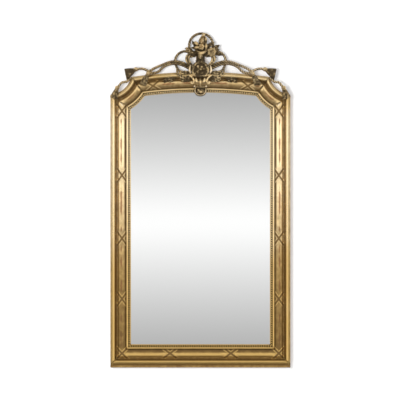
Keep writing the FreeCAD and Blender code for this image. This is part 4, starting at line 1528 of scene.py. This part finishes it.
@dataclass
class CarvedRope(Assembly):
    """Rope ring, loops, swags, knots and tails."""

    ring_middle: Triple = (0.008, 0.67, 0.36)
    ring_radius: float = 60 * MM
    ring_angles: Pair = (204.0, -24.0)
    knot_middle: Triple = (-0.57, -0.02, 0.88)
    knot_axis: Triple = (-1.0, 0.0, 0.55)
    knot_radius: float = 8.5 * MM
    knot_length: float = 15 * MM
    knot_turns: float = 2.5
    knot_rope: Pair = (4.8 * MM, 24 * MM)
    loop: Route = ((-0.1, 0.52, 0.36), (-0.19, 0.52, 0.36), (-0.245, 0.46, 0.36), (-0.28, 0.32, 0.36),
                   (-0.268, 0.15, 0.36), (-0.243, 0.05, 0.5), (-0.2, 0.0, 0.75), (-0.16, -0.02, 0.95))
    upper: Route = ((-0.079, 0.085, 0.6), (-0.179, 0.215, 0.6), (-0.279, 0.268, 0.6), (-0.357, 0.242, 0.6),
                    (-0.434, 0.172, 0.62), (-0.512, 0.095, 0.72), (-0.568, 0.01, 0.85))
    lower: Route = ((-0.079, 0.02, 0.6), (-0.179, 0.152, 0.6), (-0.279, 0.211, 0.6), (-0.366, 0.178, 0.6),
                    (-0.426, 0.102, 0.6), (-0.47, 0.008, 0.64), (-0.518, -0.022, 0.72), (-0.568, -0.03, 0.85))
    tail: Route = ((-0.568, 0.0, 0.88), (-0.607, 0.052, 0.85), (-0.646, 0.08, 0.8), (-0.679, 0.08, 0.76),
                   (-0.715, 0.065, 0.72))
    corner: Route = ((-0.745, -0.14, 0.58), (-0.787, -0.178, 0.78), (-0.825, -0.245, 0.92),
                     (-0.87, -0.268, 1.0), (-0.897, -0.332, 1.06), (-0.918, -0.39, 1.12))

    def ring(self) -> Surface:
        """Rope along an arc of a circle in the front view.

        Returns:
            The skin.
        """
        angles = np.radians(np.linspace(*self.ring_angles, 120))
        offsets = self.ring_radius * np.stack([np.cos(angles), 0 * angles, np.sin(angles)], axis=1)
        return Rope(()).along(PLAN.at(self.ring_middle) + offsets)

    def knot(self) -> Surface:
        """Two and a half turns of a helix wound about the rope.

        Returns:
            The skin.
        """
        turn = np.linspace(0, self.knot_turns * TURN, 90)
        axis = unit(np.array(self.knot_axis))
        side = unit(np.cross(axis, FRONT))
        coil = self.knot_radius * (np.cos(turn)[:, None] * side + np.sin(turn)[:, None] * FRONT)
        way = np.linspace(-0.5, 0.5, len(turn))[:, None] * self.knot_length
        return Rope((), *self.knot_rope).along(PLAN.at(self.knot_middle) + coil + way * axis)

    def build(self) -> None:
        """Make and dress every length of rope."""
        swag = Surface.joined([Rope(route, shade=0.6).surface() for route in (self.upper, self.lower)])
        self.add_carved({"top_rope_ring": self.ring()},
                        {"rope_loop": Rope(self.loop).surface(), "rope_swag": swag, "knot": self.knot(),
                         "rope_tail": Rope(self.tail).surface(),
                         "corner_rope": Rope(self.corner).surface()})


@dataclass
class Tassels(Assembly):
    """Tassels with a netted head, a collar and a fluted skirt."""

    skirt_depth: float = 26 * MM
    strands: int = 22
    sides: int = 132
    net_turns: int = 6
    net_pace: float = 520.0
    head_middle: float = 8 * MM
    collar: float = 15.4 * MM
    ends: tuple = (("upper_tassel", ((-0.699, 0.09, 0.72), (-0.832, -0.06, 0.66)), 57 * MM, -0.25),
                   ("middle_tassel", ((-0.572, -0.01, 1.05), (-0.64, -0.322, 1.02)), 37 * MM, 0.2),
                   ("lower_tassel", ((-0.916, -0.355, 1.12), (-0.96, -0.667, 1.08)), 43 * MM, 0.0))
    profile: tuple = ((0, 3), (1, 6), (3, 9.4), (6, 11.6), (9, 12), (12, 11), (14.5, 9.2), (15.6, 8.8),
                      (16.2, 10.6), (18, 11.6), (19.6, 11), (20.2, 9.8))

    def tassel(self, ends: tuple, width: float, slant: float) -> Surface:
        """Turned head and collar, then a skirt that widens to a flat oval end.

        Width and depth follow the profile and then the skirt; strands are small flutes round the
        skirt, slanting cross flutes net the head, and the skirt's end is sheared by its slant.

        Args:
            ends: Top and tip as shares of the crest plan.
            width: Width of the skirt's end.
            slant: Way along gained for each unit aside at the skirt's end.

        Returns:
            The skin.
        """
        top, tip = PLAN.at(ends)
        length = float(np.linalg.norm(tip - top))
        ways, radii = np.array(self.profile).T * MM
        neck = ways[-1]
        flare = np.array([0.1, 0.25, 0.45, 0.7, 0.9, 1.0])
        skirt = neck + (length - neck) * flare
        grow = flare**0.7
        knots = np.concatenate([ways, skirt])
        wide = np.concatenate([radii, radii[-1] + (width / 2 - radii[-1]) * grow])
        deep = np.concatenate([radii, radii[-1] + (self.skirt_depth / 2 - radii[-1]) * grow])
        rows = np.unique(np.concatenate([np.linspace(0, length, 56), knots]))
        wide_at, deep_at = (np.interp(rows, knots, values)[:, None] for values in (wide, deep))
        turn = around(self.sides)[None]
        flute = np.abs(np.cos(self.strands * turn / 2)) ** 0.7
        on_skirt = (rows > neck)[:, None] * np.ones_like(turn)
        across, down = self.net_turns * turn, self.net_pace * rows[:, None]
        net = np.abs(np.sin(across + down)) * np.abs(np.sin(across - down))
        on_head = bump(rows, self.head_middle, 6 * MM)[:, None] * np.ones_like(turn)
        scale = 1 - on_skirt * 0.12 * (1 - flute) - 0.1 * on_head * (1 - net**0.5)
        # Painted shade between the skirt's strands, in the head's net, at the top, the collar and the neck;
        # painted highlight on the net's raised knots.
        recess = np.clip(on_skirt * (0.52 + 0.7 * (1 - flute)) + on_head * (0.7 - 1.1 * net**0.5)
                         + 0.6 * bump(rows, 0, 3 * MM)[:, None]
                         + 0.6 * bump(rows, self.collar, 1.2 * MM)[:, None]
                         + 0.5 * bump(rows, neck, 2 * MM)[:, None], -0.3, 1)
        axis = unit(tip - top)
        side = unit(np.cross(axis, FRONT))
        aside = wide_at * scale * np.cos(turn)
        outward = deep_at * scale * np.sin(turn)
        way = rows[:, None] + slant * aside * np.clip((rows - neck) / (length - neck), 0, 1)[:, None]
        out = np.cross(side, axis)
        points = top + axis * way[..., None] + side * aside[..., None] + out * outward[..., None]
        return Surface.from_grid(points, recess)

    def build(self) -> None:
        """Make and dress the three pairs."""
        self.add_carved({}, {name: self.tassel(ends, width, slant)
                             for name, ends, width, slant in self.ends})


@dataclass
class Cartouche(Assembly):
    """Dished shield with a rosette, scrolls, neck, pendant, acanthus and leaf sprays."""

    middle: Pair = (0.0, 0.065)
    shield_radius: float = 43 * MM
    shield_back: float = 14 * MM
    floor: float = 58.5 * MM
    boss_radius: float = 25 * MM
    boss_rise: float = 9 * MM
    neck_ends: Route = ((0.0, 0.27, 0.62), (0.0, 0.45, 0.62))
    neck_waist: float = 19 * MM
    neck_flare: float = 7 * MM
    neck_flower: Triple = (0.0, 0.385, 1.06)
    upper_scroll: Route = ((-0.06, 0.215, 1.06), (-0.082, 0.145, 1.1), (-0.088, 0.0475, 1.12),
                           (-0.079, -0.045, 1.12), (-0.052, -0.115, 1.08))
    side_drop: Route = ((-0.106, 0.17, 1.0), (-0.117, 0.1, 1.06), (-0.119, 0.03, 1.08), (-0.108, -0.06, 1.04))
    eye_drop: Route = ((-0.049, -0.165, 1.0), (-0.046, -0.21, 1.06), (-0.041, -0.25, 1.06),
                       (-0.034, -0.285, 1.0))
    lower_scroll: Route = ((-0.139, -0.0725, 1.0), (-0.112, -0.1025, 1.06), (-0.0856, -0.1575, 1.08),
                           (-0.072, -0.2175, 1.06), (-0.079, -0.2775, 1.02), (-0.097, -0.2925, 1.0),
                           (-0.1056, -0.2575, 1.0), (-0.094, -0.2375, 1.02))
    strap: Route = ((-0.09, 0.16, 0.9), (-0.12, 0.2175, 0.9), (-0.143, 0.2975, 0.86), (-0.141, 0.3775, 0.8),
                    (-0.117, 0.4475, 0.68))
    pendant_middle: Triple = (0.0, -0.47, 0.421)
    pendant_half: float = 31 * MM
    pendant_top: float = 26 * MM
    pendant_foot: float = 25.5 * MM
    pendant_panel: Pair = (21 * MM, 11.5 * MM)
    pendant_bar: Route = ((-0.042, -0.38, 0.9), (0.0, -0.37, 0.92), (0.042, -0.38, 0.9))
    pendant_balls: Route = ((-0.064, -0.36, 0.94), (0.064, -0.36, 0.94))
    pendant_bud: Route = ((0.0, -0.15, 1.1), (0.0, -0.24, 1.12), (0.0, -0.4, 0.98))
    acanthus_leaves: tuple[Leaf, ...] = (
        Leaf(((-0.1, -0.1, 0.98), (-0.16, -0.15, 1.1), (-0.22, -0.11, 1.14), (-0.255, -0.02, 1.12),
              (-0.268, 0.07, 1.0)), 11 * MM, 6 * MM, 6, 0.45, 0.4, shade=0.3),
        Leaf(((-0.095, -0.165, 0.95), (-0.14, -0.205, 1.02), (-0.19, -0.21, 1.04),
              (-0.228, -0.175, 0.98)), 9.5 * MM, 5 * MM, 5, 0.4, shade=0.35),
        Leaf(((-0.112, -0.035, 0.98), (-0.16, -0.015, 1.1), (-0.21, -0.02, 1.1), (-0.25, 0.04, 1.0)),
             10 * MM, 5 * MM, 5, 0.35, shade=0.35))
    spray_leaves: tuple[Leaf, ...] = (
        Leaf(((-0.255, -0.135, 0.76), (-0.31, -0.15, 0.88), (-0.37, -0.185, 0.88),
              (-0.423, -0.225, 0.82)), 10 * MM, 5 * MM, 5, 0.45, shade=0.5),
        Leaf(((-0.28, -0.14, 0.78), (-0.315, -0.2, 0.86), (-0.35, -0.265, 0.88)),
             6.5 * MM, 4 * MM, 3, shade=0.4),
        Leaf(((-0.345, -0.17, 0.8), (-0.38, -0.225, 0.88), (-0.405, -0.275, 0.88)),
             5.5 * MM, 4 * MM, 3, shade=0.4))

    def point(self, depth: float) -> Array:
        """Point on the shield's axis at a height off the back."""
        return PLAN.at((self.middle[0], self.middle[1], depth / PLAN.depth))

    def shield(self) -> Surface:
        """Dish: rings of a turned profile from its middle over the beaded lip to the back.

        Returns:
            The skin.
        """
        turn = around(96)
        outline = self.shield_radius * np.stack([np.cos(turn), np.sin(turn)], axis=1)
        shares = np.array([0.02, 0.4, 0.66, 0.74, 0.79, 0.83, 0.87, 0.93, 0.97, 1.0, 1.0, 0.97, 0.7, 0.02])
        below = np.array([0, 0, 1, 4.5, 6.3, 5, 6.5, 7.5, 6, 2.5, -22, -26, 0, 0]) * MM
        heights = self.floor + below
        heights[-2:] = self.shield_back + MM
        beads = np.abs(np.sin(12 * turn))[None] ** 0.7
        rim = bump(shares, 0.93, 0.06)[:, None] * np.clip(np.sin(turn) + 0.4, 0, 1)
        lift = heights[:, None] - 3.5 * MM * rim * (1 - beads)
        # Painted shade in the dish and between the rim's beads.
        ringed = np.interp(shares, [0, 0.7, 0.79, 0.84, 0.93, 1], [0.85, 1, 0.6, 1, 0.65, 0.95])
        recess = np.clip(ringed[:, None] + 0.8 * rim * (1 - beads), 0, 1)
        return relief(self.point(0.0), outline, shares, lift, recess)

    def boss(self) -> Surface:
        """Rosette: a dome whose height is fluted into five uneven petals round a raised button.

        Returns:
            The skin.
        """
        turn = around(128)
        outline = self.boss_radius * np.stack([np.cos(turn), np.sin(turn)], axis=1)
        shares = np.concatenate([np.linspace(0.01, 1.0, 30), [1.0, 0.01]])
        petal = np.abs(np.cos(2.5 * turn + 0.5 * np.sin(turn)))[None] ** 0.7
        dome = self.boss_rise * np.sqrt(np.clip(1 - shares**2, 0, 1))[:, None]
        middle = bump(shares, 0, 0.28)[:, None]
        cut = (0.45 + 0.55 * petal) * (1 - middle) + middle
        ringed = 1 - 0.35 * bump(shares, 0.36, 0.06)[:, None] - 0.2 * bump(shares, 0.72, 0.05)[:, None]
        heights = self.floor - MM + dome * cut * ringed
        heights[-2:] = self.floor - 3 * MM
        # Painted shade between the petals and in the rings, less on the button.
        recess = np.clip(0.5 + 0.8 * (1 - petal) * (1 - middle) + 0.9 * (1 - ringed) - 0.2 * middle, 0, 1)
        return relief(self.point(0.0), outline, shares, heights, recess)

    def neck(self) -> Surface:
        """Waisted and fluted stand between the shield and the flowers, with a small rosette on it.

        Returns:
            The joined skin.
        """
        foot, top = PLAN.at(self.neck_ends)
        way = np.linspace(0, 1, 24)[:, None]
        path = foot + (top - foot) * way
        turn = around(96)[None]
        flute = np.abs(np.cos(9 * turn)) ** 0.8
        reach = (self.neck_waist + self.neck_flare * (2 * way - 1) ** 2) * (1 - 0.1 * (1 - flute))
        # Painted shade on the neck, deepest in its flutes.
        body = swept(path, reach * np.cos(turn), reach * np.sin(turn), 0.7 + 0.4 * (1 - flute) + 0 * way)
        flower = Blossom(self.neck_flower, (Petals(8, *mm(12, 3.6, 3, 0)),), 5 * MM, 0.45, -0.2)
        return Surface.joined([body, flower.surface()])

    def scrolls(self) -> Surface:
        """Two channelled scrolls, the lower with a ball in the eye of its volute, and a drop beside each.

        Returns:
            The joined skin.
        """
        upper = Band(self.upper_scroll, mm(3, 4, 4.5, 4, 3), 6 * MM, 0.3, 60, 0.3, (0.75, 0.15)).surface()
        side = Band(self.side_drop, mm(2, 5.5, 6, 2), 6 * MM, 0.0, 40).surface()
        lower = Band(self.lower_scroll, mm(2.5, 4.5, 5, 4.5, 3.6, 2.4), 5 * MM, 0.3, 80, 0.3).surface()
        eye = scattered(round_bead(4.2 * MM, 14, 9, -0.3), PLAN.at([(-0.092, -0.26, 1.0)]))
        drop = Band(self.eye_drop, mm(4, 8.5, 8, 3), 7 * MM, 0.0, 40, shades=(0.2, 0.2)).surface()
        return Surface.joined([upper, side, lower, eye, drop])

    def pendant(self) -> Surface:
        """Drop: a round-ended outline with a raised rim, a fluted panel in it and a bud above.

        Returns:
            The joined skin.
        """
        turn = around(120)
        x, z = np.cos(turn), np.sin(turn)
        square = (np.abs(x) ** 3.2 + np.abs(z) ** 3.2) ** (-1 / 3.2)
        roundness = np.where(z > 0, square, 1.0)
        high = np.where(z > 0, self.pendant_top, self.pendant_foot)
        outline = np.stack([x * roundness * self.pendant_half, z * roundness * high], axis=1)
        shares = np.array([0.02, 0.45, 0.62, 0.68, 0.74, 0.82, 0.9, 0.97, 1.0, 1.0, 0.02])
        heights = np.array([19, 19, 19, 20, 25, 28.5, 28.5, 26, 22, 2, 2]) * MM
        crown = np.clip(z, 0, 1)[None] * bump(shares, 0.84, 0.14)[:, None]
        lift = heights[:, None] - 7 * MM * crown
        # Painted shade and painted highlight in rings across the plate, darker on its raised upper rim.
        ringed = np.interp(shares, [0, 0.62, 0.68, 0.8, 0.92, 1], [0.9, 0.9, 1, -0.2, -0.3, 0.6])
        recess = np.clip(ringed[:, None] + 0.7 * crown, -0.3, 1)
        middle = PLAN.at(self.pendant_middle)
        plate = relief(middle, outline, shares, lift, recess)
        panel_shares = np.array([0.02, 0.5, 0.8, 0.95, 1.0, 1.0, 0.02])
        panel_heights = np.array([26.5, 26.5, 26.5, 25, 22, 14, 14])[:, None] * MM + 0 * turn
        wide, tall = self.pendant_panel
        panel_line = np.stack([x * square * wide, z * square * tall - 2 * MM], axis=1)
        streaks = np.abs(np.sin(panel_line[None, :, 1] * panel_shares[:, None] * 500))
        # Painted stripes of shade across the flat panel.
        panel = relief(middle, panel_line, panel_shares, panel_heights, 0.2 + 0.4 * streaks)
        bar = Band(self.pendant_bar, mm(3.5, 4.2, 3.5), 4 * MM, 0.2, 24).surface()
        balls = scattered(round_bead(7 * MM, 14, 9, -0.4), PLAN.at(self.pendant_balls))
        bud = Leaf(self.pendant_bud, 6.5 * MM, 6 * MM, cup=0.0).surface()
        return Surface.joined([plate, panel, bar, balls, bud])

    def strap_scroll(self) -> Surface:
        """Channelled strap from the shield up to the rope."""
        return Band(self.strap, mm(5, 9, 11, 11, 8), 4.5 * MM, 0.5, 60, 0.45, (0.5, 0.0)).surface()

    def acanthus(self) -> Surface:
        """Large curled leaf from the scroll out to a raised tip, with one under and one over it."""
        return Surface.joined([leaf.surface() for leaf in self.acanthus_leaves])

    def spray(self) -> Surface:
        """Spray of three lobed leaves lying in the hollow of the arched rail."""
        return Surface.joined([leaf.surface() for leaf in self.spray_leaves])

    def build(self) -> None:
        """Make and dress every piece of the cartouche."""
        self.add_carved({"cartouche_shield": self.shield(), "cartouche_boss": self.boss(),
                         "cartouche_neck": self.neck(), "pendant_shell": self.pendant()},
                        {"cartouche_scroll": self.scrolls(), "strap_scroll": self.strap_scroll(),
                         "acanthus": self.acanthus(), "leaf_spray": self.spray()})


@dataclass
class CrestFlowers(Assembly):
    """Flowers, bud and leaves inside and below the rope ring."""

    leaves: tuple = (
        ((-0.051, 0.63), (-0.072, 0.71), (-0.09, 0.775), 9),
        ((0.06, 0.62), (0.11, 0.68), (0.154, 0.75), 12),
        ((0.132, 0.56), (0.175, 0.62), (0.21, 0.675), 12),
        ((0.14, 0.53), (0.18, 0.55), (0.21, 0.565), 9),
        ((0.15, 0.45), (0.2, 0.445), (0.243, 0.42), 9),
        ((-0.085, 0.53), (-0.13, 0.57), (-0.171, 0.595), 10),
        ((-0.04, 0.475), (-0.11, 0.5), (-0.175, 0.5), 10),
        ((-0.04, 0.42), (-0.09, 0.405), (-0.135, 0.365), 10),
        ((-0.03, 0.52), (-0.08, 0.47), (-0.125, 0.43), 9),
        ((0.043, 0.49), (0.08, 0.56), (0.1, 0.63), 11),
        ((-0.02, 0.56), (-0.06, 0.6), (-0.1, 0.61), 9),
        ((0.03, 0.45), (0.07, 0.41), (0.11, 0.39), 9),
        ((0.1, 0.42), (0.14, 0.4), (0.18, 0.36), 8),
        ((0.05, 0.5), (0.085, 0.47), (0.12, 0.44), 11))
    petals: tuple = (
        ((-0.05, 0.52), (0.008, 0.465), (0.068, 0.525), 10),
        ((-0.069, 0.583), (-0.036, 0.607), (-0.003, 0.6), 8),
        ((-0.017, 0.652), (-0.039, 0.7), (-0.061, 0.75), 8.5),
        ((0.058, 0.728), (0.064, 0.642), (0.058, 0.548), 7))
    bud: tuple = (
        ((0.022, 0.62), (0.026, 0.78), (0.036, 0.955), 0.82, 18, 0.55),
        ((0.0, 0.66), (-0.004, 0.78), (0.022, 0.9), 0.92, 7, 0.4),
        ((0.05, 0.66), (0.06, 0.77), (0.05, 0.9), 0.92, 7, 0.45),
        ((0.022, 0.68), (0.028, 0.76), (0.03, 0.86), 1.04, 5.5, -0.1),
        ((0.03, 0.86), (0.037, 0.92), (0.042, 0.965), 0.98, 6, -0.2),
        ((0.012, 0.69), (0.01, 0.73), (0.016, 0.77), 1.04, 4.5, 0.0))

    def foliage(self) -> Surface:
        """Leaves as shares of the plan, each with three points of its spine and a half width.

        Returns:
            The joined skin.
        """
        made = [Leaf(((*base, 0.6), (*mid, 0.72), (*tip, 0.58)), half * MM, 4 * MM, 3, 0.25, shade=0.4)
                for base, mid, tip, half in self.leaves]
        return Surface.joined([leaf.surface() for leaf in made])

    def main_rose(self) -> Surface:
        """Open rose: a ring of petals behind, four large rolled petals and a tight middle.

        Returns:
            The joined skin.
        """
        behind = Blossom((0.003, 0.59, 0.66), (Petals(6, *mm(31, 13, 3, 3), 0.3, 0.5),), 6 * MM, 0.5)
        rolled = [Leaf(((*base, 0.9), (*mid, 1.0), (*tip, 0.9)), half * MM, 7 * MM, fullness=0.5, cup=-0.35)
                  for base, mid, tip, half in self.petals]
        middle = Blossom((0.009, 0.632, 0.86), (Petals(5, *mm(16, 7, 6, -2), 0.2),
                                                Petals(3, *mm(9, 5, 9, -1), 0.8)), 4 * MM)
        return Surface.joined([part.surface() for part in (behind, *rolled, middle)])

    def right_cluster(self) -> Surface:
        """Rose with small blossoms crowded on it.

        Returns:
            The joined skin.
        """
        centre = np.array([0.127, 0.505, 0.62])
        parts = [Blossom(tuple(centre), (Petals(6, *mm(26, 10, 2, 2), 0.3),), 8 * MM, 0.35)]
        small = (Petals(5, *mm(8.5, 3.2, 2, 0.5)),)
        for angle, reach in zip(around(7), mm(15, 17, 15, 16, 15, 17, 16)):
            off = np.array([math.cos(angle) * reach / PLAN.spread, math.sin(angle) * reach / PLAN.rise, 0.2])
            parts.append(Blossom(tuple(centre + off), small, 2.6 * MM, 0.05, -0.2))
        parts.append(Blossom(tuple(centre + np.array([0.0, 0.0, 0.32])), small, 2.8 * MM, 0.5))
        return Surface.joined([part.surface() for part in parts])

    def rosette(self) -> Surface:
        """Small flower of two rings of five petals."""
        rings = (Petals(5, *mm(18, 6.5, 2, 3), 0.9), Petals(5, *mm(10, 4.5, 5, 1), 0.3))
        return Blossom((-0.132, 0.542, 0.66), rings, 4 * MM).surface()

    def tall_bud(self) -> Surface:
        """Closed bud: leaves that lie over each other, each with its lift, half width and shade.

        Returns:
            The joined skin.
        """
        made = [Leaf(((*base, 0.76), (*mid, lift), (*tip, lift - 0.08)), half * MM, 6 * MM, cup=-0.3,
                     shade=shade) for base, mid, tip, lift, half, shade in self.bud]
        return Surface.joined([leaf.surface() for leaf in made])

    def build(self) -> None:
        """Make and dress the flowers."""
        self.add_carved({"main_rose": self.main_rose(), "right_rose": self.right_cluster(),
                         "left_rosette": self.rosette(), "tall_bud": self.tall_bud(),
                         "crest_leaves": self.foliage()}, {})


@dataclass
class Fixings:
    """Pieces that keep their CAD shape: glass, back and fittings."""

    palette: Palette
    pine: tuple[str, ...] = ("glass_blocks", "back_boards", "mitre_keys", "crest_cleat")
    screws: tuple[str, ...] = ("board_screws", "cleat_screws", "hanger_screws")
    brass: tuple[str, ...] = ("left_hanger_strap", "right_hanger_strap", "left_hanging_ring",
                              "right_hanging_ring")

    def build(self) -> None:
        """Give every kept node its material."""
        finishes = {"mirror_glass": self.palette.silver}
        finishes |= dict.fromkeys(self.pine, self.palette.pine)
        finishes |= dict.fromkeys(self.screws, self.palette.steel)
        finishes |= dict.fromkeys(self.brass, self.palette.brass)
        for node, material in finishes.items():
            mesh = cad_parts[node].data
            mesh.materials.clear()
            mesh.materials.append(material)
            LOG.info("%s: %s", node, material.name)


# Studio


@dataclass
class Studio:
    """Wall, floor, lamps, surroundings and camera."""

    wall_y: float = 38 * MM
    floor_z: float = -300 * MM
    reach: float = 9.0
    wall_size: Pair = (3.4, 4.4)
    floor_glow: float = 0.34
    floor_tones: tuple[Colour, Colour] = ((0.82, 0.82, 0.81, 1), (0.86, 0.86, 0.85, 1))
    camera_place: Triple = (-0.002, -10.02, 0.838)
    lens: float = 180.0
    wall_glow: float = 0.24
    wall_white: float = 0.82
    glass_peak: float = -0.011
    glass_fall: float = 5.4
    glass_level: float = 1.042
    glass_least: float = 0.6
    glass_soft: float = 0.00005
    matt_level: float = 0.36
    dim_level: float = 0.12
    lamps: tuple = (("key", (-1.35, -6.0, 1.05), (0.0, 0.0, 0.9), 1.2, 225.0),
                    ("fill", (1.8, -4.6, 1.6), (0.0, 0.0, 0.8), 1.6, 14.0),
                    ("behind", (1.2, 2.6, 2.4), (0.0, 0.0, 0.9), 1.6, 40.0))

    def plane(self, name: str, corners: list[Triple]) -> bpy.types.Object:
        """Flat four-cornered sheet of the stage.

        Args:
            name: Name of the sheet.
            corners: Its corners in turn.

        Returns:
            The new object.
        """
        mesh = bpy.data.meshes.new(name)
        mesh.from_pydata(corners, [], [(0, 1, 2, 3)])
        made = bpy.data.objects.new(name, mesh)
        bpy.context.scene.collection.objects.link(made)
        return made

    def wall(self) -> None:
        """Pale wall that glows a little and takes the shadow, seen only from the front."""
        half, top = self.wall_size
        wall = self.plane("wall", [(-half, self.wall_y, self.floor_z), (half, self.wall_y, self.floor_z),
                                   (half, self.wall_y, top), (-half, self.wall_y, top)])
        wall.data.materials.append(WallFinish("white wall", self.wall_white, self.wall_glow).material())
        wall.visible_shadow = False
        wall.visible_diffuse = False

    def floor(self) -> None:
        """Plain pale floor below the hanging mirror."""
        far = self.reach
        floor = self.plane("floor", [(-far, -far, self.floor_z), (far, -far, self.floor_z),
                                     (far, far, self.floor_z), (-far, far, self.floor_z)])
        floor.data.materials.append(FloorFinish("pale floor", *self.floor_tones, self.floor_glow).material())
        floor.visible_glossy = False

    def surroundings(self) -> None:
        """World: white to the camera, even on matt surfaces, and a graded studio in reflections.

        In reflections the front is brightest a little below level and falls off above and below, the
        sides are dim, and a broad bright field lies high in front.
        """
        world = bpy.data.worlds.new("studio")
        bpy.context.scene.world = world
        world.use_nodes = True
        graph = Graph(world.node_tree)
        way = graph.node("ShaderNodeTexCoord").outputs["Generated"]
        x, y, z = graph.node("ShaderNodeSeparateXYZ", {0: way}).outputs
        off = graph.math("SUBTRACT", z, self.glass_peak)
        spread = graph.math("SQRT", graph.math("ADD", graph.math("MULTIPLY", off, off), self.glass_soft))
        fall = graph.math("SUBTRACT", self.glass_level, graph.math("MULTIPLY", spread, self.glass_fall))
        level = graph.math("POWER", graph.math("MAXIMUM", fall, self.glass_least), 2.2)
        beside = graph.math("ABSOLUTE", x)
        window = graph.math("MULTIPLY", graph.smooth(beside, 0.085, 0.055), graph.smooth(y, -0.9, -0.97))
        window = graph.math("MULTIPLY", window, graph.smooth(graph.math("ABSOLUTE", z), 0.2, 0.15))
        facing = graph.smooth(y, 0.15, -0.35)
        sky = graph.math("SUBTRACT", graph.smooth(z, -0.5, -0.12, 0.2, 1.45),
                         graph.smooth(z, 0.1, 0.5, 0.0, 0.75))
        field_level = graph.math("MULTIPLY", sky, graph.smooth(beside, 0.9, 0.5, 0.3, 1.0))
        around_level = graph.math("ADD", graph.math("MULTIPLY", field_level, facing), self.dim_level)
        glossy_level = graph.weighted((level, window), (around_level, graph.math("SUBTRACT", 1.0, window)))
        rays = graph.node("ShaderNodeLightPath").outputs
        strength = self.matt_level
        for label, seen in (("Is Glossy Ray", glossy_level), ("Is Camera Ray", 1.0)):
            inputs = {0: rays[label], 2: strength, 3: seen}
            strength = graph.node("ShaderNodeMix", inputs, data_type="FLOAT").outputs[0]
        graph.feed(world.node_tree.nodes["Background"], {"Color": WHITE, "Strength": strength})

    def lamp(self, name: str, place: Triple, aim: Triple, size: float, power: float) -> None:
        """Square soft lamp aimed at a point.

        Args:
            name: Name of the lamp.
            place: Where it stands.
            aim: What it looks at.
            size: Length of its side.
            power: Power in watts.
        """
        light = bpy.data.lights.new(name, "AREA")
        light.size = size
        light.energy = power
        made = bpy.data.objects.new(name, light)
        made.visible_glossy = False
        toward = Vector(aim) - Vector(place)
        made.location = place
        made.rotation_euler = toward.to_track_quat("-Z", "Y").to_euler()
        bpy.context.scene.collection.objects.link(made)

    def camera(self) -> None:
        """Long lens square on to the middle of the mirror."""
        data = bpy.data.cameras.new("camera")
        data.lens = self.lens
        data.sensor_width = 36.0
        made = bpy.data.objects.new("camera", data)
        made.location = self.camera_place
        made.rotation_euler = (math.pi / 2, 0.0, 0.0)
        bpy.context.scene.collection.objects.link(made)
        bpy.context.scene.camera = made

    def build(self) -> None:
        """Set the stage."""
        self.wall()
        self.floor()
        self.surroundings()
        for lamp in self.lamps:
            self.lamp(*lamp)
        self.camera()
        bpy.context.scene.view_settings.view_transform = "Standard"


def main() -> None:
    """Build the mirror's dressing piece by piece, then its stage."""
    logging.basicConfig(level=logging.INFO, format="%(name)s: %(message)s")
    palette = Palette.made()
    moulding = FrameMoulding(palette)
    for part in (moulding, SightPearls(palette, moulding), RibbonCrosses(palette), Cartouche(palette),
                 CrestFlowers(palette), CarvedRope(palette), Tassels(palette), Fixings(palette), Studio()):
        part.build()
        LOG.info("%s done", type(part).__name__)


if __name__ == "__main__":
    main()
